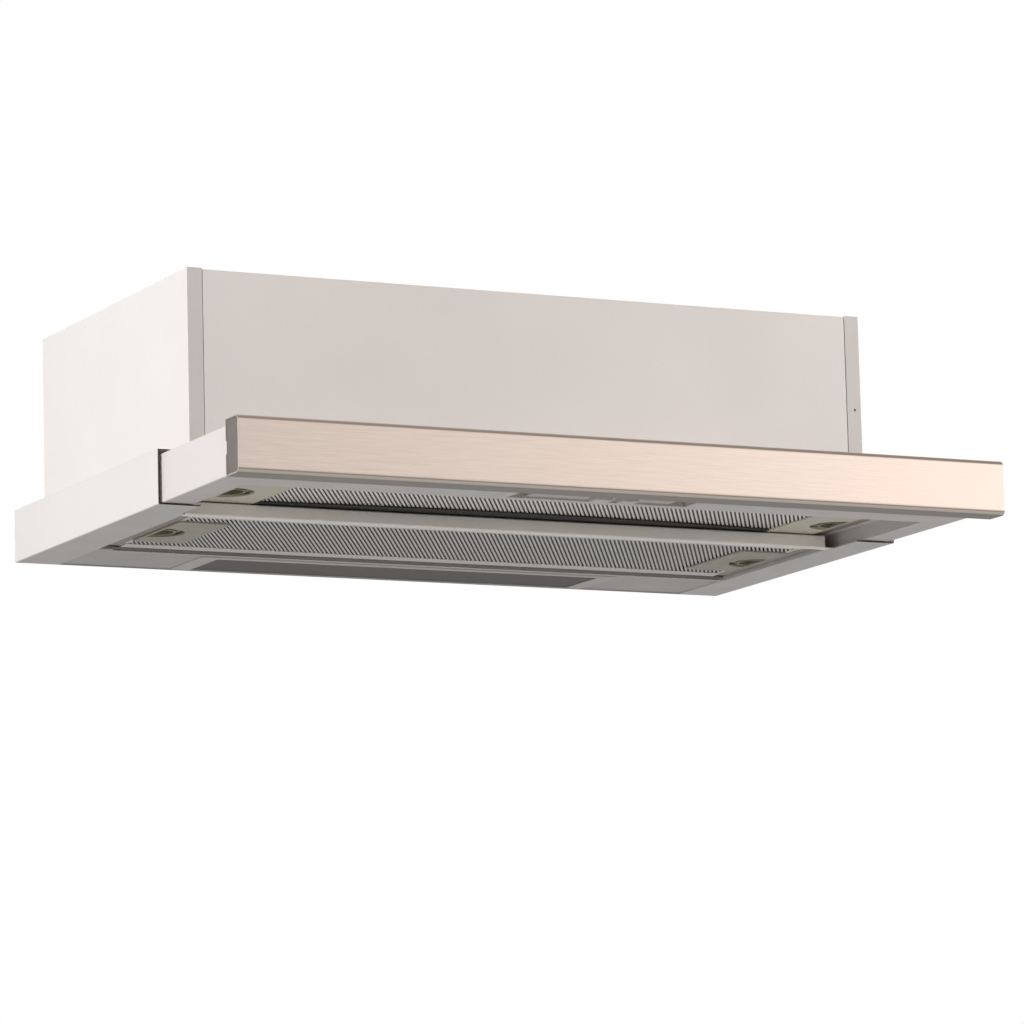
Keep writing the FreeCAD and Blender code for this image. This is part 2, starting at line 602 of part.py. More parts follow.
def casing_screws():
    """Four screws through the side flanges and the top plate."""
    screws = []
    for end, x, y in casing_screw_places():
        head = rod("casing_head_" + end, "z", (x, y, CASING_TOP), "screw_head_radius", "screw_head_height")
        shank = rod("casing_shank_" + end, "z", (x, y, CASING_TOP + " - screw_length"), "screw_radius",
                    "screw_length")
        screws.append(joined("casing_screw_" + end, head, shank))
    group = doc.addObject("Part::Compound", "casing_screw_group")
    group.Links = screws
    return piece("casing_screws", group)


# ---- outlet

def collar():
    """Short spigot with a flange on the top plate and blind seats for the flap axle."""
    top = TOP_PLATE + " + sheet_thick"
    tube = rod("collar_tube", "z", ("0", OUTLET_Y, top), "collar_radius", "collar_height")
    flange = rod("collar_flange", "z", ("0", OUTLET_Y, top), "collar_flange_radius", "collar_flange_thick")
    bore = rod("collar_bore", "z", ("0", OUTLET_Y, top + " - sheet_thick"), "collar_radius - collar_wall",
               "collar_height + 2 * sheet_thick")
    axle_hole = rod("collar_axle_seats", "x", ("-collar_radius + collar_wall / 2", OUTLET_Y, FLAP_AXIS),
                    "axle_radius", "2 * collar_radius - collar_wall")
    return piece("outlet_collar", cut("collar_cut", joined("collar_union", tube, flange), bore, axle_hole))


def flap_axle():
    """Thin axle across the collar that both flaps turn on."""
    return piece("flap_axle", rod("axle", "x", ("-collar_radius + collar_wall / 2", OUTLET_Y, FLAP_AXIS),
                                  "axle_radius", "2 * collar_radius - collar_wall"))


def flap(word, direction):
    """Half-round non-return flap with a knuckle on its own half of the axle."""
    disc = rod("flap_disc_" + word, "z", ("0", OUTLET_Y, FLAP_AXIS + " - flap_thick / 2"),
               "collar_radius - collar_wall - flap_clearance", "flap_thick")
    if direction > 0:
        kept = (OUTLET_Y + " + flap_start", OUTLET_Y + " + collar_radius")
        knuckle_x = "knuckle_start"
        web_y = (OUTLET_Y, OUTLET_Y + " + flap_start")
    else:
        kept = (OUTLET_Y + " - collar_radius", OUTLET_Y + " - flap_start")
        knuckle_x = "-knuckle_start - knuckle_length"
        web_y = (OUTLET_Y + " - flap_start", OUTLET_Y)
    level = (FLAP_AXIS + " - flap_thick / 2", FLAP_AXIS + " + flap_thick / 2")
    half = block("flap_half_" + word, about("0", "collar_radius"), kept, level)
    plate = doc.addObject("Part::Common", "flap_plate_" + word)
    plate.Base = disc
    plate.Tool = half
    knuckle = rod("flap_knuckle_" + word, "x", (knuckle_x, OUTLET_Y, FLAP_AXIS), "knuckle_radius",
                  "knuckle_length")
    web = block("flap_web_" + word, (knuckle_x, knuckle_x + " + knuckle_length"), web_y, level)
    bore = rod("flap_bore_" + word, "x", (knuckle_x + " - knuckle_start", OUTLET_Y, FLAP_AXIS),
               "axle_radius + running_gap", "knuckle_length + 2 * knuckle_start")
    whole = joined("flap_union_" + word, plate, knuckle, web)
    return piece("flap_" + word, cut("flap_cut_" + word, whole, bore))


# ---- blower

def scroll_half(word, side):
    """One half of the scroll: a round chamber with an outlet duct up to the top plate."""
    def chamber(name, reach, wall):
        low = outward(side, "0", reach)[0]
        drum = rod(name + "_drum_" + word, "x", (low, "-blower_back", BLOWER_LEVEL),
                   "%s - %s" % (SCROLL_RADIUS, wall), reach)
        duct = block(name + "_duct_" + word, outward(side, "0", reach),
                     about(OUTLET_Y, "(outlet_depth / 2 - %s)" % wall), (BLOWER_LEVEL, TOP_PLATE))
        return joined(name + "_union_" + word, drum, duct)
    outer = chamber("scroll_outer", "scroll_half", "0")
    inner = chamber("scroll_inner", "(scroll_half - scroll_wall)", "scroll_wall")
    inlet = rod("scroll_inlet_" + word, "x", (outward(side, "0", "2 * scroll_half")[0], "-blower_back",
                                              BLOWER_LEVEL), WHEEL_RADIUS + " - inlet_step", "2 * scroll_half")
    return piece("scroll_half_" + word, cut("scroll_cut_" + word, outer, inner, inlet))


def impeller():
    """Double-inlet wheel: centre disc with a hub, two end rings and a ring of blades."""
    body = doc.addObject("PartDesign::Body", "impeller_body")
    blade = section(body, "blade_section", "YZ_Plane", [
        ("-blade_thick / 2", WHEEL_RADIUS + " - wheel_ring"),
        ("blade_thick / 2", WHEEL_RADIUS + " - wheel_ring"),
        ("blade_thick / 2 + wheel_ring / 2", WHEEL_RADIUS + " - blade_thick / 2"),
        ("-blade_thick / 2 + wheel_ring / 2", WHEEL_RADIUS + " - blade_thick / 2"),
    ])
    pad = body.newObject("PartDesign::Pad", "blade_pad")
    pad.Profile = blade
    pad.setExpression("Length", linked("2 * " + WHEEL_HALF))
    pad.SideType = "Symmetric"
    doc.recompute()
    ring = body.newObject("PartDesign::PolarPattern", "blade_ring")
    ring.Originals = [pad]
    ring.Axis = ([f for f in body.Origin.OriginFeatures if f.Role == "X_Axis"][0], [""])
    ring.Angle = 360
    ring.setExpression("Occurrences", linked("blade_count"))
    body.Tip = ring
    body.setExpression("Placement.Base.y", linked("-blower_back"))
    body.setExpression("Placement.Base.z", linked(BLOWER_LEVEL))
    centre = ("-blower_back", BLOWER_LEVEL)
    disc = rod("wheel_disc_plate", "x", ("-wheel_disc / 2",) + centre, WHEEL_RADIUS + " - blade_thick / 2",
               "wheel_disc")
    hub = rod("wheel_hub", "x", ("-hub_half",) + centre, "hub_radius", "2 * hub_half")
    rings = []
    for word, side in SIDES:
        start = WHEEL_HALF + " - wheel_disc / 2" if side > 0 else "-" + WHEEL_HALF
        outer = rod("wheel_ring_outer_" + word, "x", (start,) + centre, WHEEL_RADIUS, "wheel_disc / 2")
        hole = rod("wheel_ring_hole_" + word, "x", (start + " - wheel_disc",) + centre,
                   WHEEL_RADIUS + " - wheel_ring / 2", "3 * wheel_disc")
        rings.append(cut("wheel_ring_" + word, outer, hole))
    bore = rod("wheel_bore", "x", ("-2 * hub_half",) + centre, "shaft_radius", "4 * hub_half")
    return piece("impeller", cut("impeller_cut", joined("impeller_union", body, disc, hub, *rings), bore))


def motor_parts():
    """Motor, its shaft and the three-armed bracket that carries it off the scroll."""
    centre = ("-blower_back", BLOWER_LEVEL)
    start = "(scroll_half + motor_gap)"
    case = rod("motor_case", "x", (start,) + centre, "motor_radius", "motor_length")
    bore = rod("motor_bore", "x", (start + " - motor_gap",) + centre, "shaft_radius + running_gap",
               "motor_gap + motor_grip + running_gap")
    softened = rounded("motor_round", case, "2 * scroll_wall", lambda e: e.Curve.TypeId == "Part::GeomCircle")
    piece("motor", cut("motor_cut", softened, bore))
    piece("motor_shaft", rod("shaft", "x", ("-hub_half",) + centre, "shaft_radius",
                             "hub_half + %s + motor_grip" % start))
    ring_start = "(scroll_half + motor_gap + 2 * scroll_wall)"
    ring = rod("bracket_ring", "x", (ring_start,) + centre, "motor_radius + bracket_thick", "bracket_width")
    reach = "(%s - bracket_margin)" % SCROLL_RADIUS
    arms = []
    count = int(number("bracket_arms"))
    for turn in range(count):
        arm = block("bracket_arm_%d" % turn, ("scroll_half", ring_start + " + bracket_width"),
                    about("0", "bracket_width / 2"), ("motor_radius", reach))
        hollow = block("bracket_hollow_%d" % turn, ("scroll_half - 1", ring_start),
                       about("0", "bracket_width"), ("motor_radius - 1", reach + " - bracket_thick"))
        arm = cut("bracket_leg_%d" % turn, arm, hollow)
        arm.Placement = FreeCAD.Placement(FreeCAD.Vector(0, -number("blower_back"), number(BLOWER_LEVEL)),
                                          FreeCAD.Rotation(FreeCAD.Vector(1, 0, 0), 360 / count * (turn + 0.5)))
        arm.setExpression("Placement.Base.y", linked("-blower_back"))
        arm.setExpression("Placement.Base.z", linked(BLOWER_LEVEL))
        arms.append(arm)
    hole = rod("bracket_hole", "x", ("0",) + centre, "motor_radius", "3 * scroll_half")
    piece("motor_bracket", cut("bracket_cut", joined("bracket_union", ring, *arms), hole))


def capacitor():
    """Motor capacitor standing on the deck."""
    can = rod("capacitor_can", "z", ("-capacitor_side", "-capacitor_back", "frame_height"), "capacitor_radius",
              "capacitor_height")
    return piece("motor_capacitor", rounded("capacitor_round", can, "scroll_wall",
                                            lambda e: passes(e, z=number("frame_height + capacitor_height"))
                                            and e.Curve.TypeId == "Part::GeomCircle"))


# ---- mains inlet

def mains_inlet():
    """Terminal box on the rear plate and the cable gland above it in the top plate."""
    low = TOP_PLATE + " - gland_neck - terminal_height - 2 * sheet_thick"
    box = block("terminal_body", about(INLET_SIDE, "terminal_width / 2"),
                ("-terminal_depth - 2 * sheet_thick", "-2 * sheet_thick"), (low, low + " + terminal_height"))
    front = -number("terminal_depth + 2 * sheet_thick")
    piece("terminal_box", rounded("terminal_round", box, "2 * sheet_thick",
                                  lambda e: runs_along(e, "z") and passes(e, y=front)))
    top = TOP_PLATE + " + sheet_thick"
    neck = rod("gland_neck_body", "z", (INLET_SIDE, "-inlet_back", top + " - gland_neck"), "gland_radius",
               "gland_neck")
    head = rod("gland_head", "z", (INLET_SIDE, "-inlet_back", top), "gland_head_radius", "gland_head_height")
    head_round = rounded("gland_head_round", head, "gland_head_round",
                         lambda e: passes(e, z=number(top + " + gland_head_height"))
                         and e.Curve.TypeId == "Part::GeomCircle")
    bore = rod("gland_bore_hole", "z", (INLET_SIDE, "-inlet_back", top + " - 2 * gland_neck"), "gland_bore",
               "3 * gland_neck + gland_head_height")
    piece("cable_gland", cut("gland_cut", joined("gland_union", neck, head_round), bore))


# ---- lamp

def lamp():
    """Lamp cover in the rear plate, with housing, sockets and bulbs above it."""
    face = "(sheet_thick - bezel_thick)"
    half = "(lamp_width / 2)"
    outer = block("bezel_outer", about("0", half), ("-lamp_front", "-lamp_back"), (face, "sheet_thick"))
    window = block("bezel_window", about("0", "(%s - bezel_side)" % half),
                   ("-lamp_front + bezel_edge", "-lamp_back - bezel_edge"), (face + " - 1", "sheet_thick"))
    seat_x = about("0", "(%s - bezel_side + lens_seat)" % half)
    seat_y = ("-lamp_front + bezel_edge - lens_seat", "-lamp_back - bezel_edge + lens_seat")
    seat = block("bezel_seat", seat_x, seat_y, (face + " + lens_recess", "2 * sheet_thick"))
    chamfer = doc.addObject("Part::Chamfer", "bezel_bevel")
    chamfer.Base = outer
    doc.recompute()
    low = number(face)
    chamfer.Edges = [(i + 1, number("bezel_chamfer"), number("bezel_slope"))
                     for i, e in enumerate(outer.Shape.Edges) if passes(e, z=low)]
    piece("lamp_bezel", cut("bezel_cut", chamfer, window, seat))
    piece("lamp_lens", block("lens_plate",
                             about("0", "(%s - bezel_side + lens_seat - sheet_play)" % half),
                             ("-lamp_front + bezel_edge - lens_seat + sheet_play",
                              "-lamp_back - bezel_edge + lens_seat - sheet_play"),
                             (face + " + lens_recess", face + " + lens_recess + lens_thick")))
    base = "2 * sheet_thick"
    housing_half = "(%s - bezel_side + lens_seat + panel_gap + 2 * sheet_thick)" % half
    housing_y = ("-lamp_front + bezel_edge - lens_seat - panel_gap - 2 * sheet_thick",
                 "-lamp_back - bezel_edge + lens_seat + panel_gap + 2 * sheet_thick")
    shell = block("lamp_housing_outer", about("0", housing_half), housing_y,
                  (base, base + " + lamp_housing_height"))
    hollow = block("lamp_housing_inner", about("0", "(%s - sheet_thick)" % housing_half),
                   (housing_y[0] + " + sheet_thick", housing_y[1] + " - sheet_thick"),
                   ("sheet_thick", base + " + lamp_housing_height - sheet_thick"))
    piece("lamp_housing", cut("lamp_housing_cut", shell, hollow))
    centre = ("-(lamp_front + lamp_back) / 2", base + " + lamp_housing_height / 2")
    sockets = []
    bulbs = []
    for word, side in SIDES:
        wall = "(%s - sheet_thick)" % housing_half
        start = outward(side, wall + " - socket_length", wall)[0]
        sockets.append(rod("lamp_socket_" + word, "x", (start,) + centre, "socket_radius", "socket_length"))
        near = wall + " - socket_length - bulb_length + bulb_radius"
        start = outward(side, near, wall + " - socket_length")[0]
        glass = rod("lamp_glass_" + word, "x", (start,) + centre, "bulb_radius", "bulb_length - bulb_radius")
        tip = doc.addObject("Part::Sphere", "lamp_tip_" + word)
        tip.setExpression("Radius", linked("bulb_radius"))
        for place, text in zip("xyz", ("%d * (%s)" % (side, near),) + centre):
            tip.setExpression("Placement.Base." + place, linked(text))
        bulbs.append(joined("lamp_bulb_" + word, glass, tip))
    for label, members in (("lamp_sockets", sockets), ("lamp_bulbs", bulbs)):
        group = doc.addObject("Part::Compound", label + "_group")
        group.Links = members
        piece(label, group)


# ---- drawer

def panel_screw_places():
    """Places of the four screws that hold the front panel to the drawer's sides."""
    for word, side in SIDES:
        for end, level in (("low", "panel_screw_low"), ("high", SLIDE_TOP + " - panel_screw_drop")):
            yield "%s_%s" % (end, word), "%d * (%s - panel_screw_inset)" % (side, SLIDE_OUTER), level


def panel_screw_holes(name):
    """Clearance holes for the panel screws."""
    return [rod("%s_hole_%s" % (name, end), "y", (x, "-%s - sheet_thick" % PANEL_BACK, z),
                "screw_radius + screw_play", "5 * sheet_thick") for end, x, z in panel_screw_places()]


def slide_side(word, side):
    """Drawer side: outer wall, bottom, inner wall and the ledge that the filter's latches rest on."""
    def corner(x, z):
        return ("%d * (%s)" % (side, x), z)
    front = "(%s - sheet_thick)" % PANEL_BACK
    body = profile("slide_side_%s_body" % word, "XZ_Plane", [
        corner(SLIDE_OUTER, "slide_lift"),
        corner(SLIDE_OUTER, SLIDE_TOP),
        corner(SLIDE_OUTER + " - sheet_thick", SLIDE_TOP),
        corner(SLIDE_OUTER + " - sheet_thick", "slide_lift + sheet_thick"),
        corner(SLIDE_INNER + " + sheet_thick", "slide_lift + sheet_thick"),
        corner(SLIDE_INNER + " + sheet_thick", SLIDE_TOP + " - sheet_thick"),
        corner(SLIDE_INNER, SLIDE_TOP + " - sheet_thick"),
        corner(SLIDE_INNER, LEDGE_TOP),
        corner(SLIDE_INNER + " - ledge_width", LEDGE_TOP),
        corner(SLIDE_INNER + " - ledge_width", FRONT_FILTER_LEVEL),
        corner(SLIDE_INNER, FRONT_FILTER_LEVEL),
        corner(SLIDE_INNER, "slide_lift"),
    ], "-" + SLIDE_REAR, "%s - %s" % (front, SLIDE_REAR))
    fold(body, "slide_side_%s_fold" % word, "bend_radius", [
        ("xz", "%d * %s" % (side, SLIDE_OUTER), "slide_lift"),
    ])
    flange = block("slide_flange_" + word,
                   outward(side, SLIDE_INNER + " + sheet_thick", SLIDE_OUTER + " - sheet_thick"),
                   ("-" + front, "-%s + sheet_thick" % front), ("slide_lift + sheet_thick", SLIDE_TOP))
    whole = joined("slide_side_union_" + word, body, flange)
    return piece("slide_side_" + word, cut("slide_side_cut_" + word, whole, *panel_screw_holes("side_" + word)))


def slide_front_rail():
    """Front rail under the front panel, with an apron behind the panel and the switch strip's opening."""
    front = "(%s - sheet_thick)" % PANEL_BACK
    bottom = block("front_rail_bottom", about("0", SLIDE_INNER), ("-" + front, "-" + RAIL_REAR),
                   ("slide_lift", "slide_lift + sheet_thick"))
    upstand = block("front_rail_upstand_sheet", about("0", SLIDE_INNER),
                    ("-%s - sheet_thick" % RAIL_REAR, "-" + RAIL_REAR),
                    ("slide_lift", "slide_lift + front_rail_upstand"))
    apron = block("front_rail_apron", about("0", SLIDE_OUTER), ("-" + PANEL_BACK, "-" + front),
                  ("slide_lift", SLIDE_TOP))
    opening = block("switch_opening", ("-switch_left", "switch_right"), ("-" + SWITCH_FRONT, "-" + SWITCH_REAR),
                    ("0", "slide_lift + 2 * sheet_thick"))
    whole = joined("front_rail_union", bottom, upstand, apron)
    softened = rounded("front_rail_round", whole, "bend_radius / 2",
                       lambda e: runs_along(e, "x") and passes(e, y=-number(RAIL_REAR),
                                                               z=number("slide_lift")))
    return piece("slide_front_rail", cut("front_rail_cut", softened, opening, *panel_screw_holes("apron")))


def slide_cover():
    """Sheet over the drawer with a folded rear edge, which meets the travel switch when closed."""
    half = "(%s + sheet_thick)" % SLIDE_INNER
    top = block("cover_top", about("0", half), ("-%s + sheet_thick" % PANEL_BACK, "-" + SLIDE_REAR),
                (SLIDE_TOP + " - sheet_thick", SLIDE_TOP))
    lip = block("cover_lip_sheet", about("0", "(%s - sheet_play)" % SLIDE_INNER),
                ("-%s - sheet_thick" % SLIDE_REAR, "-" + SLIDE_REAR), (SLIDE_TOP + " - cover_lip", SLIDE_TOP))
    return piece("slide_cover", joined("cover_union", top, lip))


def front_panel():
    """Brushed steel shell of the front panel with folded rear edges, its end caps and its screws."""
    back = "-" + PANEL_BACK
    body = profile("front_panel_body", "YZ_Plane", [
        ("-panel_face", "-panel_drop"),
        (back, "-panel_drop"),
        (back, "-panel_drop + panel_return"),
        (back + " - sheet_thick", "-panel_drop + panel_return"),
        (back + " - sheet_thick", "-panel_drop + sheet_thick"),
        ("-panel_face + sheet_thick", "-panel_drop + sheet_thick"),
        ("-panel_face + sheet_thick", PANEL_TOP + " - sheet_thick"),
        (back + " - sheet_thick", PANEL_TOP + " - sheet_thick"),
        (back + " - sheet_thick", PANEL_TOP + " - panel_return"),
        (back, PANEL_TOP + " - panel_return"),
        (back, PANEL_TOP),
        ("-panel_face", PANEL_TOP),
    ], "-" + HALF_PANEL, "2 * " + HALF_PANEL)
    fold(body, "front_panel_outer_fold", "panel_radius", [
        ("yz", "-panel_face", "-panel_drop"),
        ("yz", "-panel_face", PANEL_TOP),
    ])
    fold(body, "front_panel_inner_fold", "panel_radius - sheet_thick", [
        ("yz", "-panel_face + sheet_thick", "-panel_drop + sheet_thick"),
        ("yz", "-panel_face + sheet_thick", PANEL_TOP + " - sheet_thick"),
    ])
    fold(body, "front_panel_rear_fold", "bend_radius / 2", [
        ("yz", back, "-panel_drop"),
        ("yz", back, PANEL_TOP),
    ])
    piece("front_panel", cut("front_panel_cut", body, *panel_screw_holes("panel")))
    inside = "(sheet_thick + cap_play)"
    for word, side in SIDES:
        outer_end = HALF_PANEL + " - cap_recess"
        cap = block("end_cap_block_" + word, outward(side, outer_end + " - cap_thick", outer_end),
                    ("-panel_face + " + inside, "%s - %s" % (back, inside)),
                    ("-panel_drop + " + inside, "%s - %s" % (PANEL_TOP, inside)))
        front = -number("panel_face - %s" % inside)
        piece("panel_end_cap_" + word, rounded("end_cap_round_" + word, cap, "panel_radius - " + inside,
                                               lambda e: runs_along(e, "x") and passes(e, y=front)))
    screws = []
    for end, x, z in panel_screw_places():
        seat = back + " + 2 * sheet_thick"
        head = rod("panel_head_" + end, "y", (x, seat, z), "screw_head_radius", "screw_head_height")
        shank = rod("panel_shank_" + end, "y", (x, seat + " - screw_length", z), "screw_radius", "screw_length")
        screws.append(joined("panel_screw_" + end, head, shank))
    group = doc.addObject("Part::Compound", "panel_screw_group")
    group.Links = screws
    piece("panel_screws", group)


def switch_strip():
    """Plastic strip in the front rail with a well at each end and the two switches between them."""
    x = ("-switch_left + sheet_play", "switch_right - sheet_play")
    y = ("-%s + sheet_play" % SWITCH_FRONT, "-%s - sheet_play" % SWITCH_REAR)
    inner_x = (x[0] + " + switch_wall", x[1] + " - switch_wall")
    inner_y = (y[0] + " + switch_wall", y[1] + " - switch_wall")
    tray = block("switch_tray", x, y, ("slide_lift", "slide_lift + switch_recess + switch_wall"))
    low_floor = block("switch_low_floor", inner_x, inner_y, ("0", "slide_lift + switch_floor"))
    depth = ("0", "slide_lift + switch_recess")
    left_well = block("switch_left_well", (inner_x[0], inner_x[0] + " + switch_well"), inner_y, depth)
    right_well = block("switch_right_well", (inner_x[1] + " - switch_well", inner_x[1]), inner_y, depth)
    return piece("switch_strip", cut("switch_tray_cut", tray, low_floor, left_well, right_well))


def switch_knob(word, place):
    """Slider knob that hangs under the strip's floor."""
    top = "slide_lift + switch_floor - knob_gap"
    body = block("knob_body_" + word, about(place, "knob_width / 2"),
                 about("-(%s + knob_back)" % SWITCH_REAR, "knob_depth / 2"), (top + " - knob_height", top))
    return piece(word + "_switch_knob", rounded("knob_round_" + word, body, "knob_radius",
                                                lambda e: not passes(e, z=number(top))))


def runner(word, side):
    """Telescopic runner: the fixed member hangs from the deck, the moving one rides on the drawer's side.

    Returns the moving member, which is the same on both sides.
    """
    def corner(x, z):
        return ("%d * (%s)" % (side, x), z)
    deck_level = "(frame_height - sheet_thick)"
    top = "(%s - runner_drop)" % deck_level
    bottom = "(%s - runner_height)" % top
    fixed = profile("runner_fixed_%s_body" % word, "XZ_Plane", [
        corner(RUNNER_WEB, bottom),
        corner(RUNNER_WEB + " + runner_lip + runner_thick", bottom),
        corner(RUNNER_WEB + " + runner_lip + runner_thick", bottom + " + runner_thick"),
        corner(RUNNER_WEB + " + runner_thick", bottom + " + runner_thick"),
        corner(RUNNER_WEB + " + runner_thick", top + " - runner_thick"),
        corner(RUNNER_WEB + " + runner_lip + runner_thick", top + " - runner_thick"),
        corner(RUNNER_WEB + " + runner_lip + runner_thick", top),
        corner(RUNNER_WEB + " + runner_thick", top),
        corner(RUNNER_WEB + " + runner_thick", deck_level),
        corner(RUNNER_WEB + " - runner_flange", deck_level),
        corner(RUNNER_WEB + " - runner_flange", deck_level + " - runner_thick"),
        corner(RUNNER_WEB, deck_level + " - runner_thick"),
    ], "-runner_start", "frame_depth - runner_start - runner_end")
    piece("runner_fixed_" + word, fixed)
    web = SLIDE_OUTER + " - sheet_thick"
    low = "(%s + runner_thick + runner_play)" % bottom
    high = "(%s - runner_thick - runner_play)" % top
    return profile("runner_moving_%s_body" % word, "XZ_Plane", [
        corner(web, low),
        corner(web, high),
        corner(web + " - runner_thick - runner_moving_reach", high),
        corner(web + " - runner_thick - runner_moving_reach", high + " - runner_thick"),
        corner(web + " - runner_thick", high + " - runner_thick"),
        corner(web + " - runner_thick", low + " + runner_thick"),
        corner(web + " - runner_thick - runner_moving_reach", low + " + runner_thick"),
        corner(web + " - runner_thick - runner_moving_reach", low),
    ], "-runner_moving_rear", "%s - sheet_thick - runner_front_gap - runner_moving_rear" % PANEL_BACK)


# ---- grease filters

def filter_middle(back):
    """Place of a filter's centre line along the depth."""
    return "(-%s - %s / 2)" % (back, FILTER_DEPTH)


def plate_middle(back):
    """Place of the latch plates of a filter along the depth."""
    return "(%s + plate_offset)" % filter_middle(back)


def filter_frame(word, back, level):
    """Frame of a grease filter: upright edges, top lips and two raised long rims."""
    middle = filter_middle(back)
    half_depth = FILTER_DEPTH + " / 2"
    outer = block(word + "_frame_outer", about("0", HALF_FILTER), about(middle, half_depth),
                  (level, level + " + filter_height"))
    hollow = block(word + "_frame_hollow", about("0", "(%s - sheet_thick)" % HALF_FILTER),
                   about(middle, "(%s - sheet_thick)" % half_depth),
                   (level + " - sheet_thick", level + " + filter_height - sheet_thick"))
    way = block(word + "_frame_way", about("0", "(%s - filter_rim)" % HALF_FILTER),
                about(middle, "(%s - filter_rim)" % half_depth), (level, level + " + 2 * filter_height"))
    slots = []
    for end, side in SIDES:
        centre = "%s + window_offset" % plate_middle(back)
        tongue_level = (level + " + sheet_thick", "%s + %s + latch_thick + latch_play" % (level, LATCH_LIFT))
        slots.append(block("%s_tongue_slot_%s" % (word, end),
                           outward(side, HALF_FILTER + " - 2 * sheet_thick", HALF_FILTER + " + sheet_thick"),
                           about(centre, "(tongue_depth / 2 + latch_play)"), tongue_level))
    ring = cut(word + "_frame_ring", outer, hollow, way, *slots)
    beads = []
    half_bead = "(%s - bead_inset)" % HALF_FILTER
    for end, edge_y in (("front", "%s - %s" % (middle, half_depth)),
                        ("rear", "%s + %s - filter_rim" % (middle, half_depth))):
        bead = block("%s_bead_%s" % (word, end), about("0", half_bead), (edge_y, edge_y + " + filter_rim"),
                     (level + " - bead_height", level))
        beads.append(rounded("%s_bead_round_%s" % (word, end), bead, "bead_radius",
                             lambda e: runs_along(e, "x") and passes(e, z=number(level + " - bead_height"))))
    return piece(word + "_filter_frame", joined(word + "_frame_union", ring, *beads))


def slotted_sheet(word, back, level):
    """Face sheet between the long rims: diagonal ribs between slots, left whole under the latch plates."""
    middle = number(filter_middle(back))
    bottom = number(level)
    half_x = number(PLATE_END)
    half_y = number(FILTER_DEPTH + " / 2 - sheet_thick - sheet_play")
    ribbed_y = number(FILTER_DEPTH + " / 2 - filter_rim")
    ribbed_x = number(HALF_FILTER + " - bead_inset - 2 * bead_height")
    lean = math.radians(number("rib_angle"))
    pitch = number("rib_pitch") / math.sin(lean)
    slot = number("rib_slot") / math.sin(lean)
    shift = 2 * ribbed_y / math.tan(lean)

    def rectangle(x_low, x_high, y_low, y_high):
        corners = [(x_low, y_low), (x_high, y_low), (x_high, y_high), (x_low, y_high), (x_low, y_low)]
        return Part.Face(Part.makePolygon([FreeCAD.Vector(x, y, bottom) for x, y in corners]))

    plates = []
    windows = []
    plate_y = number(plate_middle(back))
    window_y = plate_y + number("window_offset")
    for end, side in SIDES:
        near, far = sorted((side * number(PLATE_INNER), side * number(PLATE_END + " + plate_length")))
        half_plate = number("plate_depth / 2")
        plates.append(rectangle(near, far, plate_y - half_plate, plate_y + half_plate))
        near, far = sorted((side * number(WINDOW_INNER), side * number(WINDOW_OUTER)))
        radius = number("window_radius")
        windows.append(rectangle(near, far, window_y - radius, window_y + radius))
    field = rectangle(-ribbed_x, ribbed_x, middle - ribbed_y, middle + ribbed_y).cut(plates)
    slots = []
    count = int((2 * ribbed_x + shift) / pitch)
    for i in range(count):
        x = -ribbed_x - shift + (i + 0.5) * pitch
        corners = [(x, -ribbed_y), (x + slot, -ribbed_y), (x + slot + shift, ribbed_y), (x + shift, ribbed_y),
                   (x, -ribbed_y)]
        slots.append(Part.Face(Part.makePolygon([FreeCAD.Vector(a, middle + b, bottom) for a, b in corners])))
    openings = Part.makeCompound(slots).common(field)
    whole = rectangle(-half_x, half_x, middle - half_y, middle + half_y).cut([openings] + windows)
    face_sheet = doc.addObject("Part::Feature", word + "_sheet")
    face_sheet.Shape = whole.Faces[0].extrude(FreeCAD.Vector(0, 0, number("sheet_thick")))
    return piece(word + "_filter_grille", face_sheet)


def mesh_pack(word, back, level):
    """Layers of expanded mesh on top of the face sheet."""
    return piece(word + "_filter_mesh", block(
        word + "_mesh", about("0", "(%s - mesh_gap)" % PLATE_INNER),
        about(filter_middle(back), "(%s / 2 - filter_rim)" % FILTER_DEPTH),
        (level + " + sheet_thick", level + " + filter_height - sheet_thick")))


def finger_window(name, side, centre, radius, low, high):
    """A disc of a finger window, cut straight on the side towards the plate's outer end."""
    disc = rod(name + "_disc", "z", ("%d * %s" % (side, WINDOW_CENTRE), centre, low), radius,
               "(%s) - (%s)" % (high, low))
    half = block(name + "_half", outward(side, "%s - %s" % (WINDOW_CENTRE, radius), WINDOW_OUTER),
                 about(centre, radius), (low, high))
    window = doc.addObject("Part::Common", name)
    window.Base = disc
    window.Tool = half
    return window


def latch_plate(word, end, side, back, level):
    """Plastic plate on a filter's face with the half-round finger window of the latch."""
    centre = plate_middle(back)
    low = level + " - plate_thick"
    blank = block("%s_plate_%s" % (word, end), outward(side, PLATE_INNER, PLATE_END),
                  about(centre, "plate_depth / 2"), (low, level))
    shaped = rounded("%s_plate_corner_%s" % (word, end), blank, "plate_corner", lambda e: runs_along(e, "z"))
    bottom = number(low)
    softened = rounded("%s_plate_edge_%s" % (word, end), shaped, "plate_thick / 2",
                       lambda e: passes(e, z=bottom) and e.BoundBox.ZLength < 1e-3)
    window = finger_window("%s_window_%s" % (word, end), side, centre + " + window_offset", "window_radius",
                           level + " - 2 * plate_thick", level + " + plate_thick")
    return piece("%s_latch_plate_%s" % (word, end), cut("%s_plate_cut_%s" % (word, end), softened, window))


